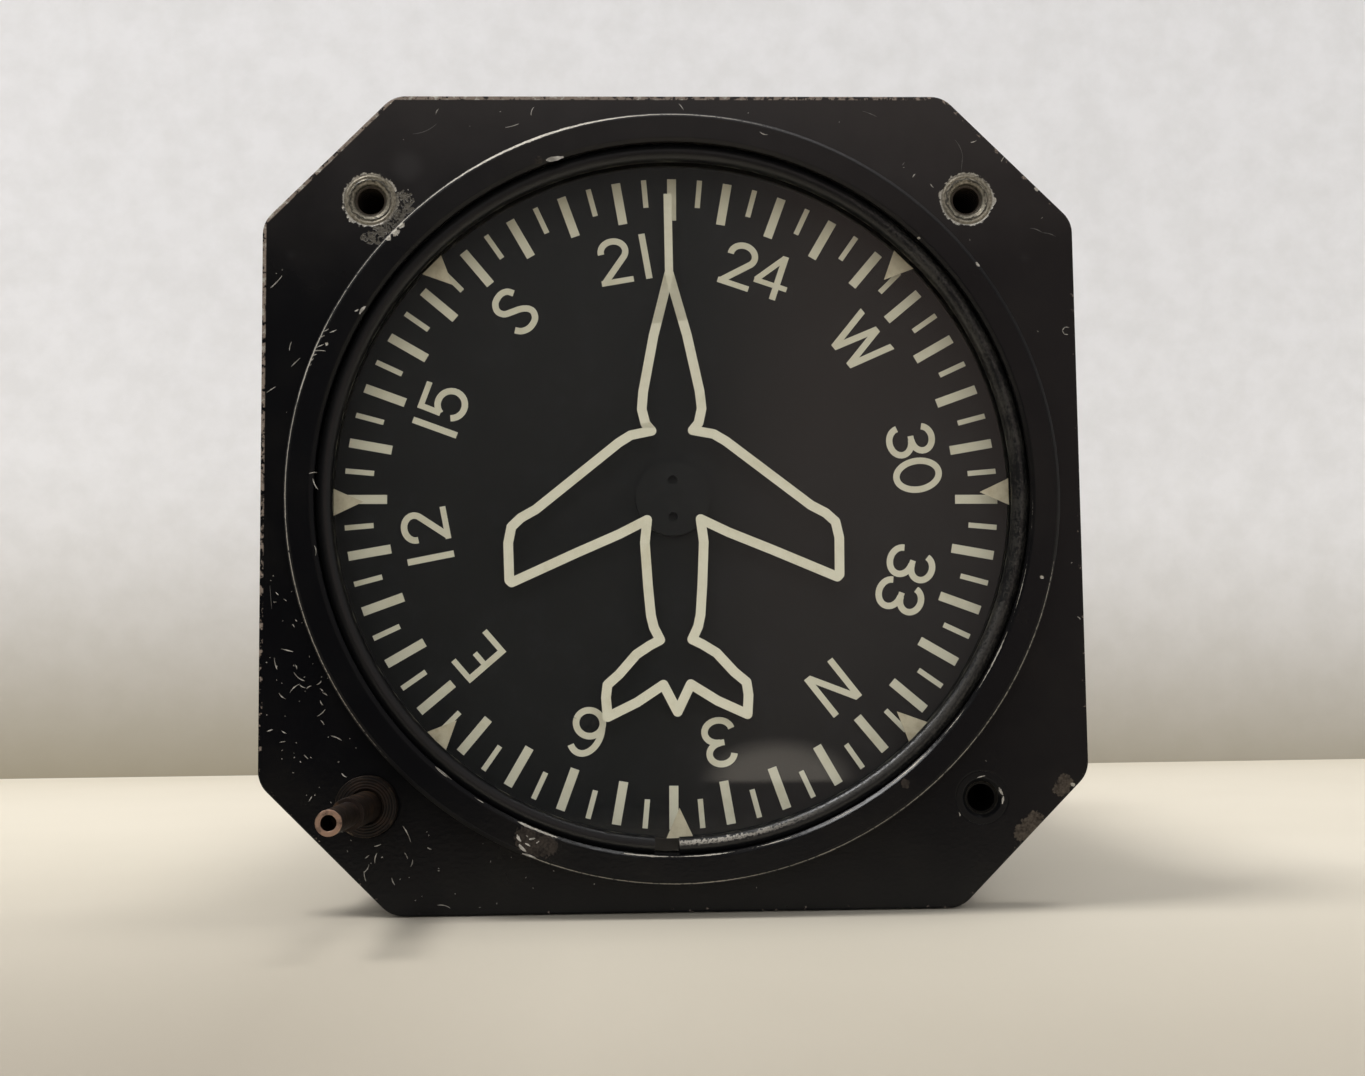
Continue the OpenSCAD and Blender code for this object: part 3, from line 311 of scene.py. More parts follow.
# Dust and painted sheen: the colour turns greyer higher up and towards the right, partly dust, partly painted sheen.
off_middle = add(tree, "Math", (place["X"], 8 * MM), operation="SUBTRACT")
off_middle = add(tree, "Math", (off_middle,), operation="ABSOLUTE")
uneven_height = add(tree, "Math", (patch, 10 * MM, place["Z"]), **TIMES_PLUS)
dust_and_sheen = add(tree, "Math", (off_middle, -0.22, uneven_height), **TIMES_PLUS)
dust_and_sheen = add(tree, "MapRange", (dust_and_sheen, 12 * MM, 50 * MM), **SOFT)
sheen_to_right = add(tree, "Math", (place["Z"], 0.2, place["X"]), **TIMES_PLUS)
dust_and_sheen = add(tree, "Math", (dust_and_sheen, add(tree, "MapRange", (sheen_to_right, 20 * MM, 40 * MM, 0.0, 0.22))), **LARGER)
dust_and_sheen = add(tree, "Math", (dust_and_sheen, add(tree, "MapRange", (place["Y"], -3 * MM, -1 * MM, 0.5, 1.0))), **TIMES)
paint = add(tree, "Mix", {0: dust_and_sheen, 6: paint, 7: linear("312e2d")}, **TINT)
smudged = add(tree, "Math", (spots(tree, at, 0.5, SMUDGES, 1.6), 0.16), **TIMES)
paint = add(tree, "Mix", {0: smudged, 6: paint, 7: linear("4a4848")}, **TINT)
ragged = add(tree, "Math", (grit, 0.9, add(tree, "Math", (blotch, 0.6), **TIMES)), **TIMES_PLUS)
paint = add(tree, "Mix", {0: thin, 6: paint, 7: linear("82756a")}, **TINT)
speckle = add(tree, "MapRange", (ragged, 0.55, 0.95))
dark_coat = add(tree, "Mix", {0: speckle, 6: linear("141211"), 7: linear("37312c")}, **TINT)
undercoat = add(tree, "Mix", {0: speckle, 6: linear("28231f"), 7: linear("50483f")}, **TINT)
on_boss = add(tree, "MapRange", (place["Y"], -1 * MM, -3 * MM))
undercoat = add(tree, "Mix", {0: on_boss, 6: undercoat, 7: dark_coat}, **TINT)
paint = add(tree, "Mix", {0: spots(tree, at, ragged, UNDERCOAT_SPOTS, 0.15), 6: paint, 7: undercoat}, **TINT)
on_body = add(tree, "MapRange", (place["Y"], 6 * MM, 9 * MM), **SOFT)
handled = add(tree, "TexNoise", {"Vector": add(tree, "VectorMath", (at, (1, 0.3, 1)), **TIMES),
                                 "Scale": 1 / (5 * MM), "Detail": 6.0, "Roughness": 0.7})
handled = add(tree, "Math", (add(tree, "MapRange", (handled, 0.5, 0.75, 0.0, 0.6), **SOFT), on_body), **TIMES)
paint = add(tree, "Mix", {0: handled, 6: paint, 7: linear("2f2d2a")}, **TINT)
metal = add(tree, "Mix", {0: add(tree, "MapRange", (grit, 0.3, 0.7)), 6: BARE_ALLOY, 7: DULL_ALLOY}, **TINT)
mottled = add(tree, "Mix", {0: speckle, 6: linear("8a8478"), 7: linear("34312d")}, **TINT)
metal = add(tree, "Mix", {0: flaked, 6: metal, 7: mottled}, **TINT)
satin = add(tree, "Math", (patch, 0.12, 0.12), **TIMES_PLUS)
satin = add(tree, "Math", (satin, add(tree, "MapRange", (outer_rim, 0.25 * MM, 0.45 * MM, 0.6, 0.0))), **LARGER)
satin = add(tree, "Math", (satin, add(tree, "Math", (on_body, 0.38), **TIMES)), **LARGER)
peel = add(tree, "Bump", {
    "Height": add(tree, "TexNoise", {"Vector": at, "Scale": 1 / (0.45 * MM)}),
    "Distance": add(tree, "MapRange", (on_body, 0.0, 1.0, 0.01 * MM, 0.05 * MM)),
    "Normal": rounded,
})
finish(made, add(tree, "BsdfPrincipled", {
    "Base Color": add(tree, "Mix", {0: worn, 6: paint, 7: metal}, **TINT),
    "Metallic": add(tree, "Math", (worn, 0.3), **TIMES),
    "Roughness": add(tree, "Math", (satin, add(tree, "Math", (worn, 0.5), **TIMES)), **LARGER),
    "Specular IOR Level": 0.2,
    "Normal": add(tree, "Bump", {"Height": worn, "Distance": -0.05 * MM, "Normal": peel}),
}), "case_housing", "rear_cover")

# %% [markdown]
# ## Metals of the mechanism
# Inside, everything is cut metal: turned steel, gear brass, bearing bronze, and a light alloy for the rings of the
# gimbals. Bare metal is fully metallic, so its colour is the colour of its reflection, and its roughness says which
# tool left it. One recipe serves them all: two tones mixed by a faint stain, a roughness that follows the stain, a
# Bevel node that catches light on every corner, and, where a tool mark would show, fine noise. Real tool marks are a
# few hundredths of a millimetre apart; they are drawn 0.25 to 0.4 mm apart here, the finest that the render can show.

# %% Recipe for cut metal
def cut_metal(name, light, dark, roughness, mark_mm, *names):
    """Lays a machined metal on the named pieces. Without a size of mark it is polished smooth."""
    made, tree, at = start(name)
    stain = add(tree, "TexNoise", {"Vector": at, "Scale": 1 / (4 * MM), "Detail": 4.0, "Roughness": 0.6})
    normal = add(tree, "Bevel", {"Radius": 0.08 * MM}, samples=6)
    if mark_mm:
        marks = add(tree, "TexNoise", {"Vector": at, "Scale": 1 / (mark_mm * MM)})
        normal = add(tree, "Bump", {"Height": marks, "Distance": 0.004 * MM, "Normal": normal})
    share = add(tree, "MapRange", (stain, 0.35, 0.75), **SOFT)
    finish(made, add(tree, "BsdfPrincipled", {
        "Base Color": add(tree, "Mix", {0: share, 6: linear(light), 7: linear(dark)}, **TINT),
        "Metallic": 1.0,
        "Roughness": add(tree, "Math", (stain, 0.2, roughness - 0.1), **TIMES_PLUS),
        "Normal": normal,
    }), *names)


# %% Steel, brass, bronze and light alloy
cut_metal("turned steel", "b4b4b2", "8b8986", 0.32, 0.3, "card_shaft", "bridge_screws", "idler_stud", "shaft_clip",
          "caging_fork", "fork_guide_pin", "outer_gimbal_pivots", "inner_gimbal_trunnions", "rotor_axle",
          "rear_cover_screws", "pivot_plugs", "inlet_filter_screen")
cut_metal("drawn spring steel", "8d8d90", "66666a", 0.3, 0, "return_spring")
cut_metal("hobbed gear brass", "c9a45c", "9c7a3e", 0.34, 0.25, "card_spur_gear", "card_bevel_teeth", "idler_gear",
          "setting_pinion", "gimbal_bevel_teeth", "balance_nuts", "air_nozzles")
cut_metal("turned rotor brass", "c2a066", "8f7242", 0.3, 0.4, "gyro_rotor")
cut_metal("machined light alloy", "bdbec0", "96979a", 0.42, 0.35, "dial_bridge", "card_bevel_cup", "gimbal_bevel_cup",
          "outer_gimbal_ring", "inner_gimbal_frame")
cut_metal("turned bearing bronze", "a3774a", "7a5636", 0.4, 0, "card_bearing", "trunnion_bearings", "pivot_bearings",
          "rotor_bearings")

# %% [markdown]
# ## Return spring
# When the setting shaft is pushed in, its return spring is squeezed against its seat in the case. A real coil closes
# turn by turn. A rig could do that, but the spring is small and lies deep in the case, so here a copy of the imported
# coil, with a mesh of its own, stands in its place and rides with the case, while the imported one is hidden.

# %% Return spring
coil = bpy.data.objects.new("return_coil", nodes["return_spring"].data.copy())
scene.collection.objects.link(coil)
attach(coil, "case")
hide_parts("return_spring")
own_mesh(coil)

# %% [markdown]
# ## Turned fitting brass
# The two fittings at the back are plain turned brass that has stood in shop air, so it is dull and brownish, with a
# roughness near 0.45. The port is tapped. A thread can be a real helix, but a thread this fine inside a dark hole
# only shows as rings, so here it is a sine wave along the axis at the thread's real pitch of 1.4 mm, used as a bump.

# %% Turned fitting brass
made, tree, at = start("turned fitting brass")
along = add(tree, "SeparateXYZ", (at,), "Y")
port = from_axis(tree, at, 15 * MM, 0.0)
wave = ripple(tree, along, 1.4 * MM)
tapped = add(tree, "Math", (add(tree, "MapRange", (port, 4.6 * MM, 4.45 * MM), **SOFT),
                            add(tree, "MapRange", (along, 106.6 * MM, 107 * MM), **SOFT)), **TIMES)
stain = add(tree, "TexNoise", {"Vector": at, "Scale": 1 / (5 * MM), "Detail": 4.0, "Roughness": 0.6})
share = add(tree, "MapRange", (stain, 0.35, 0.7), **SOFT)
finish(made, add(tree, "BsdfPrincipled", {
    "Base Color": add(tree, "Mix", {0: share, 6: linear("a98a52"), 7: linear("6f5933")}, **TINT),
    "Metallic": 1.0,
    "Roughness": 0.46,
    "Normal": add(tree, "Bump", {"Height": add(tree, "Math", (wave, tapped), **TIMES), "Distance": 0.25 * MM,
                                 "Normal": add(tree, "Bevel", {"Radius": 0.15 * MM}, samples=6)}),
}), "vacuum_fitting", "air_inlet_fitting")

# %% [markdown]
# ## Plated steel of the screw inserts
# A threaded steel insert is pressed into three corners of the flange. The enamel was sprayed over them: at the lower
# right it still covers its insert, so the insert shows only as a hole, and at the top corners the mounting screws
# have rubbed it off, which leaves a ring of dull grey-beige plating with broken arcs of enamel in it. Tool rings 0.34
# mm apart and a thread of 0.62 mm pitch are bumps again. One material serves all three, since the height on the face
# says which of them it is on.

# %% Plated steel of the inserts
made, tree, at = start("plated steel of the inserts")
place = add(tree, "SeparateXYZ", (at,), "X").node.outputs
axis = from_axis(tree, at, SCREW_POS, -SCREW_POS)
for side in (-1, 1):
    axis = add(tree, "Math", (axis, from_axis(tree, at, side * SCREW_POS, SCREW_POS)), operation="MINIMUM")
grain = add(tree, "TexNoise", {"Vector": at, "Scale": 1 / (0.3 * MM), "Detail": 3.0})
blotch = add(tree, "TexNoise", {"Vector": at, "Scale": 1 / (0.6 * MM), "Detail": 4.0})
still_painted = add(tree, "MapRange", (place["Z"], 1 * MM, -1 * MM), **SOFT)
arcs = add(tree, "Math", (blotch, 7.0, add(tree, "Math", (axis, 2 * math.pi / (0.8 * MM)), **TIMES)), **TIMES_PLUS)
crumbs = add(tree, "MapRange", (add(tree, "Math", (arcs,), operation="SINE"), 0.55, 0.95, 0.0, 0.75), **SOFT)
enamel = add(tree, "Math", (still_painted, crumbs), **LARGER)
enamel = add(tree, "Math", (enamel, add(tree, "MapRange", (place["Y"], 0.6 * MM, 0.3 * MM), **SOFT)), **TIMES)
hole = add(tree, "MapRange", (axis, 1.75 * MM, 1.5 * MM), **SOFT)
rings = ripple(tree, axis, 0.34 * MM)
thread = ripple(tree, place["Y"], 0.62 * MM)
rings = add(tree, "Math", (rings, add(tree, "MapRange", (still_painted, 0.0, 1.0, 0.3, 0.0))), **TIMES)
height = add(tree, "Math", (thread, hole, rings), **TIMES_PLUS)
worn_plating = add(tree, "MapRange", (grain, 0.3, 0.7))
metal = add(tree, "Mix", {0: worn_plating, 6: linear("aba494"), 7: linear("6b6558")}, **TINT)
# Painted shade: the bore of each insert is coloured dark brown, and near black in the lower right one, still under
# enamel.
metal = add(tree, "Mix", {0: hole, 6: metal, 7: linear("474038")}, **TINT)
painted_shade_in_hole = add(tree, "Math", (hole, still_painted), **TIMES)
metal = add(tree, "Mix", {0: painted_shade_in_hole, 6: metal, 7: linear("141312")}, **TINT)
bare = add(tree, "MapRange", (enamel, 0.0, 1.0, 0.6, 0.0))
finish(made, add(tree, "BsdfPrincipled", {
    "Base Color": add(tree, "Mix", {0: enamel, 6: metal, 7: linear("0f0f10")}, **TINT),
    "Metallic": bare,
    "Roughness": add(tree, "MapRange", (enamel, 0.0, 1.0, 0.48, 0.2)),
    "Specular IOR Level": 0.22,
    "Normal": add(tree, "Bump", {"Height": height, "Distance": 0.1 * MM,
                                 "Normal": add(tree, "Bevel", {"Radius": 0.15 * MM}, samples=6)}),
}), "screw_inserts")

# %% [markdown]
# ## Tarnished brass of the setting shaft and its bushing
# The knob is lost, so the shaft that it sat on stands bare. Brass that is handled and never polished turns a dark
# brown, and only the rim of its end, where a knob and fingers rubbed, is still pinkish and bright. Tarnish is a thin
# dark skin over metal, so it keeps part of its metallic sheen: 0.6 instead of 1. The bushing is a bronze that has
# gone nearly black with oil, and the crests of its turned rings, 0.3 mm apart, are coloured lighter: a painted glint.

# %% Tarnished brass of the shaft
made, tree, at = start("tarnished drawn brass")
along = add(tree, "SeparateXYZ", (at,), "Y")
grain = add(tree, "TexNoise", {"Vector": at, "Scale": 1 / (0.6 * MM), "Detail": 3.0})
stain = add(tree, "TexNoise", {"Vector": at, "Scale": 1 / (1.6 * MM), "Detail": 3.0})
tip = add(tree, "MapRange", (add(tree, "Math", (grain, 1.2 * MM, along), **TIMES_PLUS), -24.6 * MM, -25.1 * MM),
          **SOFT)
thin_skin = add(tree, "MapRange", (stain, 0.52, 0.7), **SOFT)
skin = add(tree, "Mix", {0: thin_skin, 6: linear("271e19"), 7: linear("54402f")}, **TINT)
finish(made, add(tree, "BsdfPrincipled", {
    "Base Color": add(tree, "Mix", {0: tip, 6: skin, 7: linear("c0a08c")}, **TINT),
    "Metallic": add(tree, "MapRange", (tip, 0.0, 1.0, 0.6, 0.9)),
    "Roughness": add(tree, "Math", (grain, 0.25, 0.32), **TIMES_PLUS),
    "Normal": add(tree, "Bump", {"Height": grain, "Distance": 0.02 * MM,
                                 "Normal": add(tree, "Bevel", {"Radius": 0.12 * MM}, samples=6)}),
}), "setting_shaft")

# %% Oil-dark bronze of the bushing
made, tree, at = start("oil-dark turned bronze")
stain = add(tree, "TexNoise", {"Vector": at, "Scale": 1 / (1.4 * MM), "Detail": 4.0, "Roughness": 0.65})
axis = from_axis(tree, at, -SCREW_POS, -SCREW_POS)
turned = ripple(tree, axis, 0.3 * MM)
rubbed = add(tree, "Math", (add(tree, "MapRange", (axis, 2.8 * MM, 3.05 * MM), **SOFT),
                            add(tree, "MapRange", (stain, 0.5, 0.66), **SOFT)), **TIMES)
thin_skin = add(tree, "MapRange", (stain, 0.4, 0.7), **SOFT)
skin = add(tree, "Mix", {0: thin_skin, 6: linear("141110"), 7: linear("2c211a")}, **TINT)
# Painted glint: the crests of the turned rings are coloured a lighter brown.
glinting_crests = add(tree, "MapRange", (turned, 0.7, 1.0, 0.0, 0.4))
skin = add(tree, "Mix", {0: glinting_crests, 6: skin, 7: linear("4a3d33")}, **TINT)
finish(made, add(tree, "BsdfPrincipled", {
    "Base Color": add(tree, "Mix", {0: rubbed, 6: skin, 7: linear("70624f")}, **TINT),
    "Metallic": 0.6,
    "Roughness": 0.45,
    "Normal": add(tree, "Bump", {"Height": turned, "Distance": 0.02 * MM,
                                 "Normal": add(tree, "Bevel", {"Radius": 0.2 * MM}, samples=6)}),
}), "shaft_bushing")

# %% [markdown]
# ## Enamelled spring wire
# The glass is held by a ring of black enamelled steel wire that springs out into the bore. Along its inner side, from
# the gap at the foot round to the right, the enamel has been scraped by the tool that fitted it: bright next to the
# gap, then only dull grey, and on the right dust clings to it. The scrape is the meeting of three masks, one across
# the wire, one along it and one that stops at the gap, and noise of 0.22 mm moves the first so that the line wavers.

# %% Enamelled spring wire
made, tree, at = start("black enamelled spring wire")
place = add(tree, "SeparateXYZ", (at,), "X").node.outputs
grit = add(tree, "TexNoise", {"Vector": at, "Scale": 1 / (0.22 * MM), "Detail": 3.0})
run = add(tree, "TexNoise", {"Vector": at, "Scale": 1 / (3.5 * MM), "Detail": 3.0})
r = add(tree, "Math", (grit, 1.0 * MM, from_axis(tree, at)), **TIMES_PLUS)
across = add(tree, "Math", (add(tree, "MapRange", (r, 35.6 * MM, 35.7 * MM), **SOFT),
                            add(tree, "MapRange", (r, 36.1 * MM, 35.98 * MM), **SOFT)), **TIMES)
down = add(tree, "Math", (place["Z"], -0.87 / GLASS_BORE_R), **TIMES)
down_right = add(tree, "Math", (place["X"], 0.5 / GLASS_BORE_R, down), **TIMES_PLUS)
down_right = add(tree, "Math", (run, 0.2, down_right), **TIMES_PLUS)
scraped = add(tree, "Math", (across, add(tree, "MapRange", (down_right, 0.78, 0.9), **SOFT)), **TIMES)
scraped = add(tree, "Math", (scraped, add(tree, "MapRange", (place["X"], -0.6 * MM, 0.2 * MM), **SOFT)), **TIMES)
scraped = add(tree, "Math", (scraped, add(tree, "MapRange", (grit, 0.4, 0.5, 0.25, 1.0), **SOFT)), **TIMES)
bright = add(tree, "MapRange", (place["X"], 16 * MM, 3 * MM), **SOFT)
steel = add(tree, "Mix", {0: bright, 6: linear("403e3b"), 7: linear("a39e94")}, **TINT)
dusty = add(tree, "Math", (add(tree, "Math", (run, 0.6, grit), **TIMES_PLUS),
                           add(tree, "MapRange", (place["X"], 14 * MM, 26 * MM, 0.3, 0.0))), operation="SUBTRACT")
dusty = add(tree, "MapRange", (dusty, 0.72, 0.92, 0.0, 0.7), **SOFT)
coat = add(tree, "Mix", {0: dusty, 6: linear("0f0f10"), 7: linear("35332f")}, **TINT)
finish(made, add(tree, "BsdfPrincipled", {
    "Base Color": add(tree, "Mix", {0: scraped, 6: coat, 7: steel}, **TINT),
    "Metallic": add(tree, "Math", (scraped, 0.4), **TIMES),
    "Roughness": add(tree, "MapRange", (scraped, 0.0, 1.0, 0.3, 0.5)),
    "Specular IOR Level": 0.5,
    "Normal": add(tree, "Bump", {"Height": grit, "Distance": 0.03 * MM}),
}), "glass_retaining_ring")

# %% [markdown]
# ## Rubber, cork, paint and ink
# These are all plain dielectrics that scatter nearly all the light they send back, so one recipe serves: a base
# colour with a faint second tone in it, a high roughness and a grain. What sets them apart is how matt they are and
# how coarse their grain is. Moulded rubber is black and dull. Pressed cork is made of granules near 0.8 mm. Dial
# paint is sprayed dead flat, so that a pilot never meets a reflection on the card. Silk-screened ink lies on it as a
# film and has yellowed to ivory. The luminous paint of the index marks was brushed on thick and has browned more, and
# towards their outer ends, by the rim of the glass, it is coloured darker still, so it gets a material of its own.

# %% Recipe for matt surfaces
def matt(name, colour, speck, roughness, gloss, grain_mm, depth_mm, *names):
    """Lays a matt surface on the named pieces and gives the material, for pieces that are made later."""
    made, tree, at = start(name)
    grain = add(tree, "TexNoise", {"Vector": at, "Scale": 1 / (grain_mm * MM), "Detail": 3.0})
    uneven = add(tree, "TexNoise", {"Vector": at, "Scale": 1 / (4 * MM), "Detail": 5.0, "Roughness": 0.7})
    share = add(tree, "MapRange", (uneven, 0.45, 0.8), **SOFT)
    finish(made, add(tree, "BsdfPrincipled", {
        "Base Color": add(tree, "Mix", {0: share, 6: linear(colour), 7: linear(speck)}, **TINT),
        "Roughness": roughness,
        "Specular IOR Level": gloss,
        "Normal": add(tree, "Bump", {"Height": grain, "Distance": depth_mm * MM}),
    }), *names)
    return made


# %% Rubber, cork, paint and ink
matt("moulded black rubber", "0a0a0a", "0e0d0d", 0.7, 0.3, 0.5, 0.01, "glass_gasket")
matt("pressed cork", "3a362f", "24211d", 0.9, 0.5, 0.8, 0.08, "rear_gasket")
matt("sprayed matt black paint", "0b0b0c", "0e0e0e", 0.6, 0.3, 0.5, 0.01, "mask_ring")
matt("sprayed charcoal dial paint", "222324", "27282a", 0.6, 0.22, 0.3, 0.001, "compass_card", "card_hub")
ink = matt("silk-screened ivory ink", "e8e4d1", "dbd5bd", 0.6, 0.35, 0.35, 0.012, "card_graduations",
           "aeroplane_outline")

# %% Browned luminous paint of the index marks
made, tree, at = start("browned luminous paint")
grain = add(tree, "TexNoise", {"Vector": at, "Scale": 1 / (0.3 * MM), "Detail": 3.0})
uneven = add(tree, "TexNoise", {"Vector": at, "Scale": 1 / (1.5 * MM), "Detail": 4.0, "Roughness": 0.6})
browner = add(tree, "MapRange", (uneven, 0.4, 0.8), **SOFT)
browned = add(tree, "Mix", {0: browner, 6: linear("d0c7af"), 7: linear("b3a68b")}, **TINT)
# The marks are coloured darker and browner towards their outer ends, by the rim of the glass.
outwards = add(tree, "Math", (uneven, 2.2 * MM, from_axis(tree, at)), **TIMES_PLUS)
outwards = add(tree, "Math", (grain, 0.8 * MM, outwards), **TIMES_PLUS)
dark_outer_end = add(tree, "MapRange", (outwards, 36.9 * MM, 37.5 * MM), **SOFT)
finish(made, add(tree, "BsdfPrincipled", {
    "Base Color": add(tree, "Mix", {0: dark_outer_end, 6: browned, 7: linear("4a3c2c")}, **TINT),
    "Roughness": 0.62,
    "Specular IOR Level": 0.3,
    "Normal": add(tree, "Bump", {"Height": grain, "Distance": 0.04 * MM}),
}), "lubber_marks")

# %% [markdown]
# ## Float glass
# Clear float glass has an IOR of 1.52. It could be one glass shader, but light that has been bent twice hardly finds
# its way to the card in a render, and the dial would look sunk in smoke. So the glass bends and mirrors only what the
# camera sees through it, and lets every shadow, diffuse and glossy ray pass straight on: the print is lit as if the
# glass were air, and still lies behind a real reflection. A film of handling marks makes the gloss vary a little.

# %% Float glass
made, tree, at = start("clear float glass")
film = add(tree, "TexNoise", {"Vector": at, "Scale": 1 / (9 * MM), "Detail": 4.0, "Roughness": 0.6})
glass = add(tree, "BsdfPrincipled", {
    "Base Color": linear("f6f6f4"),
    "Roughness": add(tree, "MapRange", (film, 0.45, 0.85, 0.0, 0.03), **SOFT),
    "IOR": 1.52,
    "Transmission Weight": 1.0,
})
ray = add(tree, "LightPath").node.outputs
passing = add(tree, "Math", (ray["Is Shadow Ray"], ray["Is Diffuse Ray"]), **LARGER)
passing = add(tree, "Math", (passing, ray["Is Glossy Ray"]), **LARGER)
air = add(tree, "BsdfTransparent", {"Color": linear("f8f8f6")})
finish(made, add(tree, "MixShader", (passing, glass, air)), "cover_glass")
plain = [name for name, piece in nodes.items() if not any(m and m.use_nodes for m in piece.data.materials)]
print("pieces without a finish:", plain)

# %% [markdown]
# ## Numerals and letters of the card
# The card is printed with a plain engraver's alphabet: strokes of one width, cut square at their ends. A font would
# be quick, but its shapes would be a font maker's, and a text object needs a file of that font. Here every glyph is a
# few strokes on a body 5 mm high, and each stroke is a strip: a line of points, widened to both sides. An arc gives
# the points of a bowl, a slab is a straight stroke cut level at both ends, and a smooth line goes through given
# points.

# %% Strokes
STROKE = 0.68


def strip(points, width=STROKE):
    """Outline of a stroke along a line of points: its left side, then its right side back."""
    left, right = [], []
    for i, p in enumerate(points):
        before, after = points[max(i - 1, 0)], points[min(i + 1, len(points) - 1)]
        along = Vector(after) - Vector(before)
        side = Vector((-along.y, along.x)).normalized() * width / 2
        left.append(Vector(p) + side)
        right.append(Vector(p) - side)
    return left, right


def arc(centre, radii, start, end, count=22):
    """Points along an ellipse, from one angle to another in degrees."""
    angles = [math.radians(start + (end - start) * i / count) for i in range(count + 1)]
    return [(centre[0] + radii[0] * math.cos(a), centre[1] + radii[1] * math.sin(a)) for a in angles]


def slab(low, high, width=STROKE):
    """A straight stroke cut level at both ends."""
    run, rise = high[0] - low[0], high[1] - low[1]
    half = width / 2 * math.hypot(run, rise) / abs(rise)
    return ([Vector((low[0] - half, low[1])), Vector((high[0] - half, high[1]))],
            [Vector((low[0] + half, low[1])), Vector((high[0] + half, high[1]))])


def through(points, count=6):
    """A smooth line through the points."""
    ends = [points[0]] + points + [points[-1]]
    line = []
    for i in range(len(points) - 1):
        a, b, c, d = (Vector(p) for p in ends[i:i + 4])
        for k in range(count):
            t = k / count
            line.append(tuple(0.5 * (2 * b + (c - a) * t + (2 * a - 5 * b + 4 * c - d) * t * t
                                     + (3 * b - a - 3 * c + d) * t ** 3)))
    return line + [points[-1]]


print("points in a full bowl:", len(arc((0, 0), (1, 1), 0, 360, 48)))

# %% Glyphs
GLYPHS = {
    "0": (3.7, [strip(arc((0, 0), (1.52, 2.28), 0, 360, 48))]),
    "1": (0.7, [strip([(0, -2.45), (0, 2.45)])]),
    "2": (3.45, [strip(arc((0.05, 1.05), (1.32, 1.12), 187, -35) + [(-1.33, -2.12)]),
                 strip([(-1.72, -2.19), (1.72, -2.19)], 0.6)]),
    "3": (3.4, [strip(arc((-0.05, 1.15), (1.3, 1.1), 170, -90)), strip([(-0.5, 0.04), (0.05, 0.04)], 0.62),
                strip(arc((-0.05, -1.15), (1.43, 1.17), 90, -174))]),
    "4": (3.7, [slab((0.68, -2.45), (0.68, 2.45)), strip([(-1.8, -0.94), (1.85, -0.94)], 0.55),
                strip([(-1.62, -0.9), (0.6, 2.2)], 0.6)]),
    "5": (3.55, [strip([(-1.5, 2.2), (1.5, 2.2)], 0.6), slab((-1.25, 0.0), (-1.17, 2.4), 0.62),
                 strip(arc((0, -0.76), (1.45, 1.44), 148, -163))]),
    "6": (3.6, [strip(arc((0.15, -0.97), (1.4, 1.34), 0, 360, 48)), strip(arc((0.2, 0), (1.6, 2.3), 50, 203))]),
    "E": (3.2, [slab((-1.2, -2.5), (-1.2, 2.5)), strip([(-0.9, 2.22), (1.4, 2.22)], 0.58),
                strip([(-0.9, 0.06), (0.5, 0.06)], 0.56), strip([(-0.9, -2.2), (1.6, -2.2)], 0.6)]),
    "N": (3.8, [slab((-1.57, -2.5), (-1.57, 2.5)), slab((1.57, -2.5), (1.57, 2.5)),
                slab((1.5, -2.5), (-1.5, 2.5), 0.66)]),
    "S": (3.5, [strip(through([(1.12, 1.55), (0.68, 2.16), (-0.1, 2.34), (-1.02, 1.98), (-1.42, 1.2), (-1.1, 0.48),
                               (-0.3, 0.13), (0.6, -0.2), (1.24, -0.68), (1.46, -1.3), (1.08, -2.02), (0.12, -2.36),
                               (-0.78, -2.14), (-1.3, -1.58)]))]),
    "W": (5.7, [slab((-1.38, -2.5), (-2.47, 2.5)), slab((-1.38, -2.5), (0.06, 2.5)), slab((1.14, -2.5), (0.06, 2.5)),
                slab((1.14, -2.5), (2.47, 2.5))]),
}
print("glyphs:", " ".join(GLYPHS))

# %% [markdown]
# ## Where the labels stand
# Every 30 degrees of heading there is a label, and its top points outwards. On the real card they were set by hand,
# so each has its own small shift sideways, radius and lean: its entry is the text, the heading, the shift and the
# radius of its middle in mm, and the lean in degrees.

# %% Labels
LABELS = [
    ("21", 210, -0.62, 26.16, 0), ("24", 240, 0.12, 26.15, -1.5), ("W", 270, 0.02, 26.08, 1),
    ("30", 300, 0.18, 26.04, 0), ("33", 330, -0.27, 26.03, 0), ("N", 0, -0.06, 25.97, 1.8),
    ("3", 30, -0.29, 25.96, 0), ("6", 60, 0.07, 25.99, 0), ("E", 90, 0.46, 26.14, -1), ("12", 120, 0.7, 26.07, -1.2),
    ("15", 150, 0.74, 26.11, 0), ("S", 180, 0.13, 26.09, 0),
]
# Room between the two figures of a label in mm. A 1 is narrow and stands further off.
USUAL_GAP = 0.2
GAPS = {"21": 1.3, "12": 1.3, "15": 0.75}


def spaced(text):
    """(glyph, offset of its middle from the middle of the word) for each letter."""
    gap = GAPS.get(text, USUAL_GAP)
    width = sum(GLYPHS[c][0] for c in text) + gap * (len(text) - 1)
    at, placed = -width / 2, []
    for c in text:
        placed.append((c, at + GLYPHS[c][0] / 2))
        at += GLYPHS[c][0] + gap
    return placed


print("width of 24:", round(sum(GLYPHS[c][0] for c in "24") + USUAL_GAP, 2), "mm")

# %% [markdown]
# ## Strips into a mesh
# Ink has hardly any thickness, but a face without a back is a stray face, so each strip becomes a thin closed slab: a
# front, a back, two sides and two ends. Where strokes cross, every next strip stands a micron further forward, so
# that no two faces lie in one plane and flicker.

# %% Flat slabs
MICRON = 1e-6


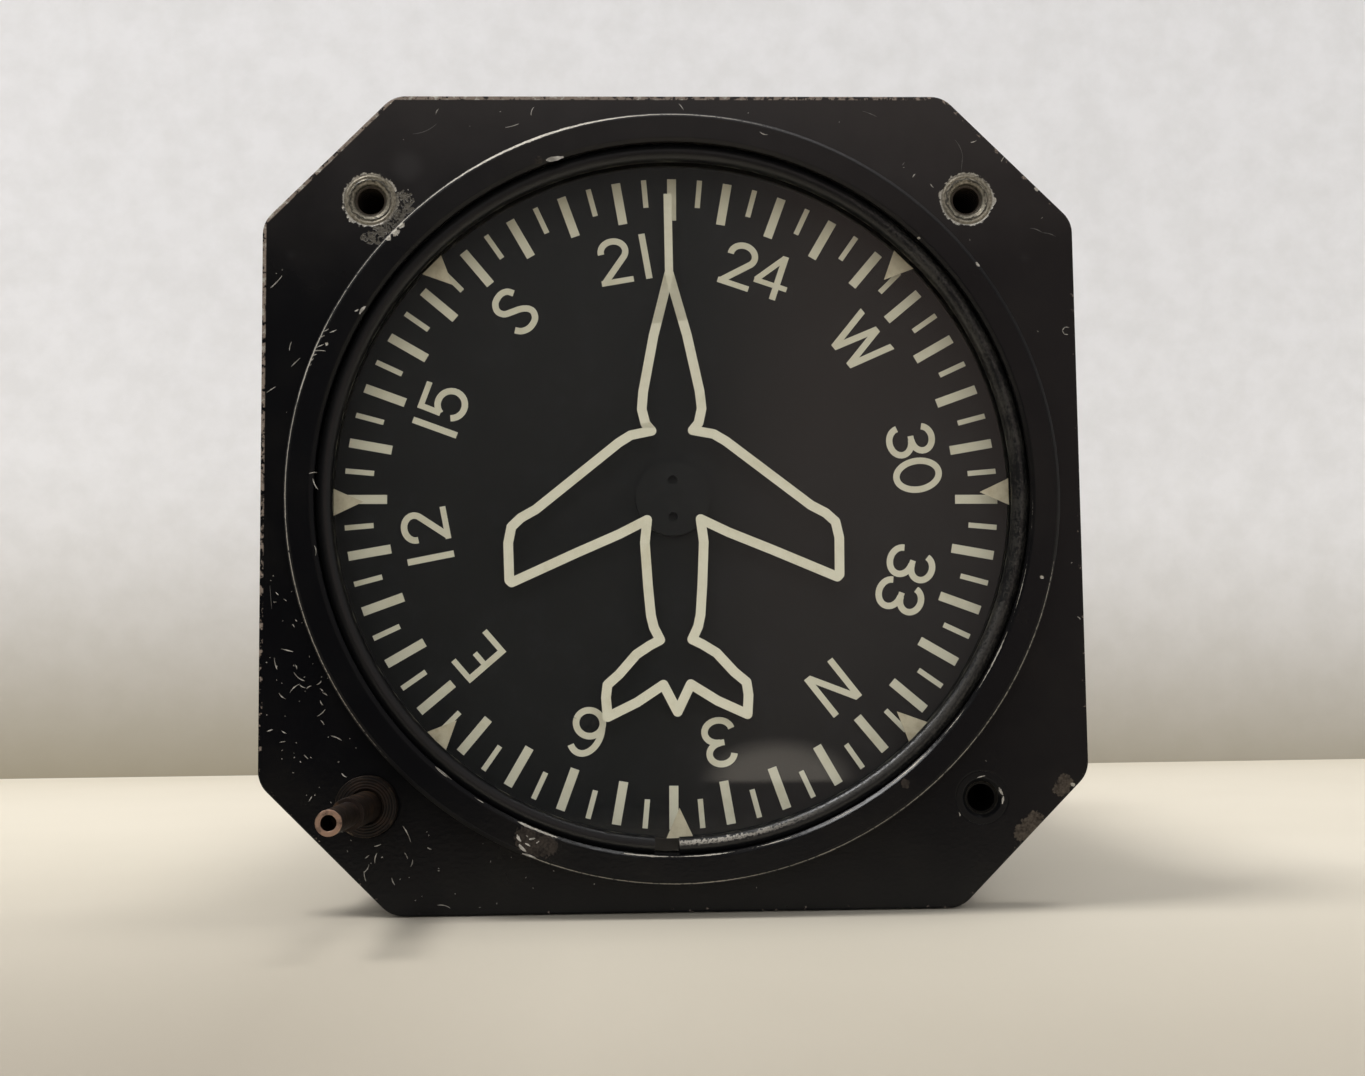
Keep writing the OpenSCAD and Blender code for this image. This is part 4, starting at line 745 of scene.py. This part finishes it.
def flat_piece(name, strips, front_y, thickness):
    """Mesh of flat strips that face forwards. A strip is two lists of (x, z) points in metres."""
    points, faces = [], []
    for k, (left, right) in enumerate(strips):
        start, n = len(points), len(left)
        front = front_y - thickness - (k % 5) * MICRON
        for y in (front, front_y):
            points += [(p[0], y, p[1]) for p in left] + [(p[0], y, p[1]) for p in right]
        for i in range(n - 1):
            a, b = start + i, start + i + 1
            faces.append((a, b, b + n, a + n))
            faces.append((a + 3 * n, b + 3 * n, b + 2 * n, a + 2 * n))
            faces.append((a + 2 * n, b + 2 * n, b, a))
            faces.append((a + n, b + n, b + 3 * n, a + 3 * n))
        for i in (start, start + n - 1):
            ends = (i, i + n, i + 3 * n, i + 2 * n)
            faces.append(ends if i == start else ends[::-1])
    mesh = bpy.data.meshes.new(name)
    mesh.from_pydata(points, [], faces)
    mesh.validate()
    made = bpy.data.objects.new(name, mesh)
    scene.collection.objects.link(made)
    return made


print("slab maker ready")


# %% Lettering of the card
def lettering():
    """All the labels as one piece, each stroke turned with its label and carried out to its radius."""
    strips = []
    for text, label_heading, shift, radius, lean in LABELS:
        angle = math.radians(label_heading - TOP_HEADING)
        out = Vector((math.sin(angle), math.cos(angle)))
        across = Vector((out.y, -out.x))
        tilt = Matrix.Rotation(-math.radians(lean), 2)
        centre = out * radius + across * shift
        for glyph, offset in spaced(text):
            for sides in GLYPHS[glyph][1]:
                strips.append([[(centre + across * q.x + out * q.y) * MM for q in
                                (tilt @ Vector((p.x + offset, p.y)) for p in side)] for side in sides])
    return flat_piece("card_numerals", strips, CARD_FRONT, 0.05 * MM)


numerals = lettering()
numerals.data.materials.append(ink)
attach(numerals, "card")
print("lettering faces", len(numerals.data.polygons))

# %% [markdown]
# ## Nicks
# Knocks have flecked the enamel, most of all at the lower left of the flange. Each fleck is a thin bent scratch with
# bare metal in it. Painted into the texture they would blur with its noise, so they are slabs too, 8 microns proud
# and of tapering width. The ones that catch the eye are placed one by one, from end to end in mm, and may say how
# wide they are; the rest are dots scattered by a seeded random number, so that every run gives the same ones.

# %% Nicks placed one by one
FLANGE_NICKS = [
    (-40.9, -9.6, -40.6, -9.9), (-40.1, -10.3, -39.8, -10.5), (-39.2, -12.9, -39.0, -13.2),
    (-38.9, -12.4, -38.7, -12.6), (-40.3, -15.4, -39.1, -15.7), (-41.0, -16.3, -40.7, -17.5),
    (-38.9, -17.0, -38.7, -17.5), (-39.0, -17.8, -37.9, -18.7), (-38.4, -19.0, -39.4, -19.9),
    (-38.4, -19.1, -37.8, -19.4), (-37.7, -19.5, -37.2, -19.2), (-40.5, -19.9, -39.8, -20.5),
    (-36.7, -19.1, -36.2, -18.7), (-36.3, -19.5, -36.0, -19.8), (-36.1, -19.9, -35.6, -20.2),
    (-36.3, -20.7, -36.0, -21.2), (-36.6, -22.3, -35.8, -21.6), (-36.3, -22.7, -35.9, -23.2),
    (-41.7, -23.8, -41.1, -23.6), (-40.2, -23.7, -39.7, -24.0), (-40.4, -24.9, -39.8, -24.8),
    (-35.2, -24.3, -34.1, -24.8), (-37.9, -26.2, -37.5, -26.6), (-34.1, -28.1, -33.6, -28.5),
    (-37.4, -30.9, -37.1, -30.4), (-27.9, -33.5, -27.1, -35.1), (-25.4, -35.7, -25.0, -35.9),
    (-30.8, -35.5, -30.1, -35.3), (-30.5, -36.2, -30.7, -37.2), (-31.7, -36.7, -31.3, -36.4),
    (-31.3, -37.3, -31.8, -38.1), (-31.8, -38.0, -31.6, -39.0), (-27.1, -37.6, -26.9, -36.9),
    (-27.7, -36.2, -27.4, -36.8), (-29.0, -38.7, -28.7, -39.4), (-24.4, -41.5, -23.1, -41.8),
    (-41.7, 22.1, -40.5, 23.4), (-39.7, 15.5, -39.5, 16.4), (-39.5, 13.8, -38.6, 14.7), (-42.0, 11.1, -41.1, 11.7),
    (-17.3, 39.2, -15.9, 39.6), (-14.6, 40.5, -14.3, 41.4), (1.0, 41.8, 1.5, 41.1), (32.0, 37.6, 32.6, 37.8),
    (35.2, 35.5, 35.5, 36.0), (25.7, 33.8, 26.0, 34.2), (27.6, 33.1, 27.9, 32.7), (41.9, -12.9, 42.2, -13.2),
    (33.2, -30.4, 33.6, -31.2, 0.34), (33.65, -31.3, 33.5, -32.1, 0.28), (31.0, -29.4, 31.8, -29.2),
    (29.0, -32.9, 29.1, -33.3), (41.95, 17.6, 41.5, 17.65, 0.08), (41.5, 17.65, 41.2, 17.3, 0.1),
    (41.2, 17.3, 41.4, 16.9, 0.1), (41.4, 16.9, 41.8, 16.85, 0.08), (-24.6, 40.6, -24.3, 41.2),
    (-21.5, 33.2, -21.2, 33.8), (-23.6, 30.6, -23.1, 30.3, 0.1), (-20.3, 31.3, -20.0, 31.0),
]
HAIRLINES = [
    (-41.5, -8.9, -41.3, -11.3), (30.3, 37.9, 31.1, 36.1), (31.1, 36.1, 30.9, 34.4), (38.1, 28.3, 39.4, 27.8),
    (39.4, 27.8, 40.8, 27.4), (24.6, 35.1, 24.9, 35.5), (-27.0, 38.5, -24.5, 39.6), (20.5, 41.0, 22.0, 40.4),
]
BOSS_NICKS = [
    (-24.2, -27.4, -22.6, -28.7), (-36.9, 2.1, -36.1, 2.2), (-36.5, 1.6, -36.0, 0.5), (-36.3, -5.2, -36.2, -6.2),
    (9.2, 37.4, 10.0, 37.1), (-35.7, 16.6, -35.0, 16.9), (-34.9, 16.5, -34.2, 16.8), (-36.0, 15.9, -35.4, 16.2),
    (-36.4, 14.9, -35.5, 15.3), (-36.6, 14.6, -35.3, 14.6), (-36.7, 14.1, -36.2, 14.3), (-36.9, 13.6, -36.5, 13.9),
    (-37.0, 13.1, -36.7, 13.3), (-12.9, 34.4, -11.1, 34.75, 0.5), (-16.1, -34.2, -15.7, -34.9, 0.3),
    (-15.9, -35.2, -15.2, -35.9, 0.36), (-15.6, -36.1, -14.2, -36.6, 0.22), (-14.9, -34.7, -14.3, -34.6, 0.2),
    (-15.3, -35.1, -14.8, -35.4, 0.18), (-14.2, -35.1, -13.9, -34.9, 0.14), (-15.2, -34.3, -15.0, -34.5, 0.12),
    (-31.9, 18.4, -31.3, 19.2, 0.3), (-32.4, 18.7, -32.0, 18.9, 0.14),
]
print("placed:", len(FLANGE_NICKS), "on the flange,", len(BOSS_NICKS), "on the boss")


# %% Shape of a scratch
def scratch(x0, z0, x1, z1, width=0.1):
    """A bent scratch from end to end, tapered at both ends, its sizes in mm."""
    begin, end = Vector((x0, z0)) * MM, Vector((x1, z1)) * MM
    along = end - begin
    across = Vector((-along.y, along.x)).normalized()
    bow = random.uniform(-0.12, 0.12) * along.length
    left, right = [], []
    for i in range(7):
        t = i / 6
        spine = begin + along * t + across * bow * 4 * t * (1 - t)
        half = width * MM / 2 * (0.3 + 0.7 * math.sin(math.pi * t)) * random.uniform(0.5, 1.3)
        left.append(spine + across * half)
        right.append(spine - across * half)
    return left, right


def scattered(count, centre, spread):
    """Dots on the flat front of the flange, clear of the boss, the screws and the bushing. All sizes are in mm."""
    half, corner, boss, screw, clear_of_screw = 42, 50, 40, 31.4, 3.6
    made = []
    while len(made) < count:
        x, z = (random.gauss(c, s) for c, s in zip(centre, spread))
        inside = max(abs(x), abs(z)) < half and (abs(x) + abs(z)) / math.sqrt(2) < corner
        clear = math.hypot(x, z) > boss and math.hypot(abs(x) - screw, abs(z) - screw) > clear_of_screw
        if inside and clear:
            turn, size = random.uniform(0, 2 * math.pi), random.uniform(0.06, 0.2)
            far_x, far_z = x + size * math.cos(turn), z + size * math.sin(turn)
            made.append(scratch(x, z, far_x, far_z, random.uniform(0.05, 0.1)))
    return made


random.seed(11)
flange_nicks = [scratch(*nick) for nick in FLANGE_NICKS]
for count, centre, spread in ((34, (-38.5, -18), (3, 9)), (16, (-26, -38), (7, 3)), (30, (0, 0), (38, 38))):
    flange_nicks += scattered(count, centre, spread)
hairlines = [scratch(*line, 0.07) for line in HAIRLINES]
boss_nicks = [scratch(*nick) for nick in BOSS_NICKS]
print("nicks:", len(flange_nicks), "on the flange,", len(boss_nicks), "on the boss")


# %% Scratched alloy
def scratched_alloy(name, light, dark):
    """Raw aluminium dulled by air: paler than a fresh cut and nearly matt, so it reads as a light fleck."""
    made, tree, at = start(name)
    tone = add(tree, "TexNoise", {"Vector": at, "Scale": 1 / (0.7 * MM)})
    share = add(tree, "MapRange", (tone, 0.35, 0.65), **SOFT)
    finish(made, add(tree, "BsdfPrincipled", {
        "Base Color": add(tree, "Mix", {0: share, 6: linear(light), 7: linear(dark)}, **TINT), "Roughness": 0.55}))
    return made


fleck = scratched_alloy("bare alloy of the nicks", "b0aba2", "77736b")
for name, slabs, front, finish_made in (
        ("flange_nicks", flange_nicks, 0.0, fleck),
        ("flange_hairlines", hairlines, 0.0, scratched_alloy("dulled alloy of the hairlines", "5b5854", "403e3c")),
        ("boss_nicks", boss_nicks, BOSS_FRONT, fleck)):
    piece = flat_piece(name, slabs, front, 0.008 * MM)
    piece.data.materials.append(finish_made)
    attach(piece, "case")
    print(name, "has", len(piece.data.polygons), "faces")

# %% [markdown]
# ## Table and wall
# The instrument stands on the lower edge of its flange and the foot of its rear cover, so it leans back by 1.9
# degrees. The part's own axes stay square, and the table leans instead. Both planes are matt and plain, so nothing
# competes with the object: the table's colour is painted darker towards its front edge and its left, and the wall's
# towards its foot, a painted shade such as a room's light gives, and the plaster has a trowelled unevenness of 7 mm
# that can hardly be seen. They show their front sides only, so that a view from behind isn't walled off, and they
# fade from glossy reflections towards the front, because a hard bright edge in the glass would look like a fault.

# %% Matt stage surface
# From the foot of the flange, the foot of the rear cover lies this far back and this much higher.
COVER_FOOT_BACK = 95.19 * MM
COVER_FOOT_UP = 3.15 * MM
LEAN = math.atan2(COVER_FOOT_UP, COVER_FOOT_BACK)
FLANGE_THICKNESS = 4.8 * MM
FOOT = Vector((0, FLANGE_THICKNESS, -FLANGE_HALF))
STAGE_WIDTH = 3.0


def stage_finish(made, tree, tone):
    """Matt surface of that tone, seen from its front side only."""
    surface = add(tree, "BsdfPrincipled", {"Base Color": tone, "Roughness": 0.8, "Specular IOR Level": 0.2})
    back = add(tree, "NewGeometry", out="Backfacing")
    ahead = add(tree, "SeparateXYZ", (back.node.outputs["Position"],), "Y")
    faded = add(tree, "Math", (add(tree, "MapRange", (ahead, -60 * MM, -420 * MM), **SOFT),
                               add(tree, "LightPath", out="Is Glossy Ray")), **TIMES)
    hidden = add(tree, "Math", (back, faded), **LARGER)
    finish(made, add(tree, "MixShader", (hidden, surface, add(tree, "BsdfTransparent"))))
    return made


def stage_plane(name, centre, rotation, size, surface):
    """A plane that only sets the scene and doesn't belong to the object."""
    bpy.ops.mesh.primitive_plane_add(size=1, location=centre, rotation=rotation)
    made = bpy.context.object
    made.name = name
    made.scale = (size[0], size[1], 1)
    made.data.materials.append(surface)
    print(name, "placed at", [round(v, 3) for v in centre])


# %% Pale laminate table
made, tree, at = start("pale laminate")
mottle = add(tree, "TexNoise", {"Vector": at, "Scale": 1 / (60.0 * MM), "Detail": 4.0, "Roughness": 0.6})
mottled = add(tree, "MapRange", (mottle, 0.3, 0.8), **SOFT)
pale = add(tree, "Mix", {0: mottled, 6: linear("d4ccbc"), 7: linear("ccc4b3")}, **TINT)
place = add(tree, "SeparateXYZ", (add(tree, "NewGeometry", out="Position"),), "X").node.outputs
# Painted shade: the laminate's colour darkens towards its front edge, and sooner at the left.
painted_shade_to_left = add(tree, "MapRange", (place["X"], -10 * MM, -33 * MM, 0.0, 35 * MM))
depth = add(tree, "Math", (place["Y"], painted_shade_to_left), operation="SUBTRACT")
painted_shade_to_front = add(tree, "MapRange", (depth, 60 * MM, -170 * MM), **SOFT)
laminate = stage_finish(made, tree, add(tree, "Mix", {0: painted_shade_to_front, 6: pale, 7: linear("8e8577")}, **TINT))
stage_plane("table", FOOT + Vector((0, -FOOT.y, -FOOT.y * math.tan(LEAN))), (LEAN, 0, 0),
            (STAGE_WIDTH, STAGE_WIDTH), laminate)

# %% Plastered wall
made, tree, at = start("pale plaster")
position = add(tree, "NewGeometry", out="Position")
place = add(tree, "SeparateXYZ", (position,), "X").node.outputs
height = add(tree, "Math", (place["X"], 0.03, place["Z"]), **TIMES_PLUS)
# Painted shade: the plaster's colour darkens towards the foot of the wall.
above_painted_shade = add(tree, "MapRange", (height, -55 * MM, 30 * MM), **SOFT)
trowelled = add(tree, "TexNoise", {"Vector": position, "Scale": 1 / (7 * MM), "Detail": 4.0, "Roughness": 0.6})
uneven = add(tree, "MapRange", (trowelled, 0.35, 0.65))
pale = add(tree, "Mix", {0: uneven, 6: linear("e9e8ea"), 7: linear("e2e1e2")}, **TINT)
plaster = stage_finish(made, tree, add(tree, "Mix", {0: above_painted_shade, 6: linear("958c77"), 7: pale}, **TINT))
# The wall's foot passes this far behind the flange, and its right end lies a little further back.
WALL_BACK = 201.5 * MM
WALL_SHIFT = 12 * MM
WALL_TURN = math.atan2(10.3, 290.9)
WALL_HEIGHT = 1.2
wall_foot = FOOT + Vector((WALL_SHIFT, WALL_BACK - FOOT.y, (WALL_BACK - FOOT.y) * math.tan(LEAN)))
wall_up = Euler((math.pi / 2 + LEAN, 0, WALL_TURN), "XYZ")
wall_middle = wall_foot + wall_up.to_matrix() @ Vector((0, WALL_HEIGHT / 2, 0))
stage_plane("wall", wall_middle, wall_up, (STAGE_WIDTH, WALL_HEIGHT), plaster)

# %% [markdown]
# ## Light
# The object was seen in a room with a window to the left and light from above, both soft. Two large area lamps stand
# in for them, one at each side above, so that the case throws a soft shadow both ways. A third one in front reaches
# into the bore, and mirrors don't show it; the world fills the rest of the shade. They are set so that a surface
# squarely in the light renders about as bright as its own colour is written. What glossy surfaces mirror is a plain
# dim room that is lighter above and to the right, with one daylit half round low on the right, so that the glass and
# the enamel have something to show.

# %% Lamps
def soft_lamp(name, position, target, size, watts, colour=(1.0, 1.0, 1.0)):
    """A square or oblong lamp that looks at the target."""
    lamp = bpy.data.lights.new(name, "AREA")
    lamp.shape = "RECTANGLE"
    lamp.size, lamp.size_y = size
    lamp.energy = watts
    lamp.color = colour
    made = bpy.data.objects.new(name, lamp)
    made.location = position
    made.rotation_euler = (Vector(target) - Vector(position)).to_track_quat("-Z", "Y").to_euler()
    scene.collection.objects.link(made)
    print(name, "shines", watts, "W")
    return made


soft_lamp("window_light", position=(-0.5, -0.15, 1.0), target=(0, 0.05, 0), size=(0.4, 0.4), watts=8.6)
soft_lamp("ceiling_light", position=(0.3, 0.12, 1.1), target=(0, 0, 0), size=(0.4, 0.4), watts=4.6)
front_light = soft_lamp("front_light", position=(0.0, -1.3, 0.35), target=(0, 0, 0), size=(0.9, 0.7), watts=5.7,
                        colour=(1.0, 1.0, 0.99))
front_light.visible_glossy = False

# %% World
world = bpy.data.worlds.new("pale room")
scene.world = world
world.use_nodes = True
tree = world.node_tree
tree.nodes.clear()
ray = add(tree, "LightPath").node.outputs
toward = add(tree, "TexCoord", out="Generated")
place = add(tree, "SeparateXYZ", (toward,), "X").node.outputs
upper = add(tree, "Math", (place["X"], 0.5, place["Z"]), **TIMES_PLUS)
above = add(tree, "MapRange", (upper, -0.15, 0.5), **SOFT)
mirrored = add(tree, "Mix", {0: above, 6: linear("161619"), 7: linear("9a9694")}, **TINT)
rightward = add(tree, "Math", (place["Z"], -0.12, place["X"]), **TIMES_PLUS)
warm = add(tree, "Math", (add(tree, "MapRange", (rightward, 0.01, 0.1), **SOFT),
                          add(tree, "MapRange", (place["Y"], -0.7, -0.9), **SOFT)), **TIMES)
warm = add(tree, "Math", (warm, add(tree, "MapRange", (place["Z"], -0.05, 0.2, 0.4, 1.0), **SOFT)), **TIMES)
mirrored = add(tree, "Mix", {0: warm, 6: mirrored, 7: linear("b09e97")}, **TINT)

# The half round: the direction of the middle of its base, and how much wider than high it is.
HALF_ROUND = (0.088, -0.995, -0.083)
FLATNESS = 1.82
DAYLIT = [1.8 * v for v in linear("efe3d4")[:3]] + [1.0]
stretched = add(tree, "VectorMath", (toward, (1, 1, FLATNESS)), **TIMES)
far = add(tree, "VectorMath", (stretched, HALF_ROUND), "Value", operation="DISTANCE")
dome = add(tree, "Math", (add(tree, "MapRange", (far, 0.046, 0.022), **SOFT),
                          add(tree, "MapRange", (place["Z"], -0.048, -0.044), **SOFT)), **TIMES)
mirrored = add(tree, "Mix", {0: dome, 6: mirrored, 7: DAYLIT}, **TINT)

ambient = add(tree, "Mix", {0: ray["Is Glossy Ray"], 6: linear("b7b9bc"), 7: mirrored}, **TINT)
seen = add(tree, "Math", (ray["Is Camera Ray"], ray["Is Transmission Ray"]), **LARGER)
colour = add(tree, "Mix", {0: seen, 6: ambient, 7: linear("e6e4df")}, **TINT)
add(tree, "OutputWorld", {"Surface": add(tree, "Background", {"Color": colour, "Strength": 1.0})})
print("world has", len(tree.nodes), "nodes")

# %% [markdown]
# ## Camera
# The camera stands where the photograph was taken from: 187.5 mm in front of the flange, below the middle of the face
# and a little to the left, so the face looks slightly tilted and the table is seen almost edge on. Its place and turn
# were solved from the corners of the flange, the screw holes and the rims of the boss, and so was its focal length,
# in pixels of a frame 1365 pixels wide; on a sensor of 36 mm that makes a lens of 48 mm.

# %% Camera
FRAME_WIDTH_PX = 1365
FOCAL_LENGTH_PX = 1818
SENSOR_MM = 36
VIEWPOINT = (-6.24 * MM, -187.5 * MM, -20.8 * MM)
VIEW_TURN_DEG = (95.009, 0.646, -2.116)

camera_data = bpy.data.cameras.new("camera")
camera_data.sensor_width = SENSOR_MM
camera_data.lens = FOCAL_LENGTH_PX * SENSOR_MM / FRAME_WIDTH_PX
camera_data.clip_start = 0.01
camera = bpy.data.objects.new("camera", camera_data)
camera.location = VIEWPOINT
camera.rotation_euler = Euler([math.radians(a) for a in VIEW_TURN_DEG], "XYZ")
scene.collection.objects.link(camera)
scene.camera = camera
scene.view_settings.view_transform = "Standard"
print("camera", [round(v, 4) for v in camera.location], "lens", round(camera_data.lens, 2))
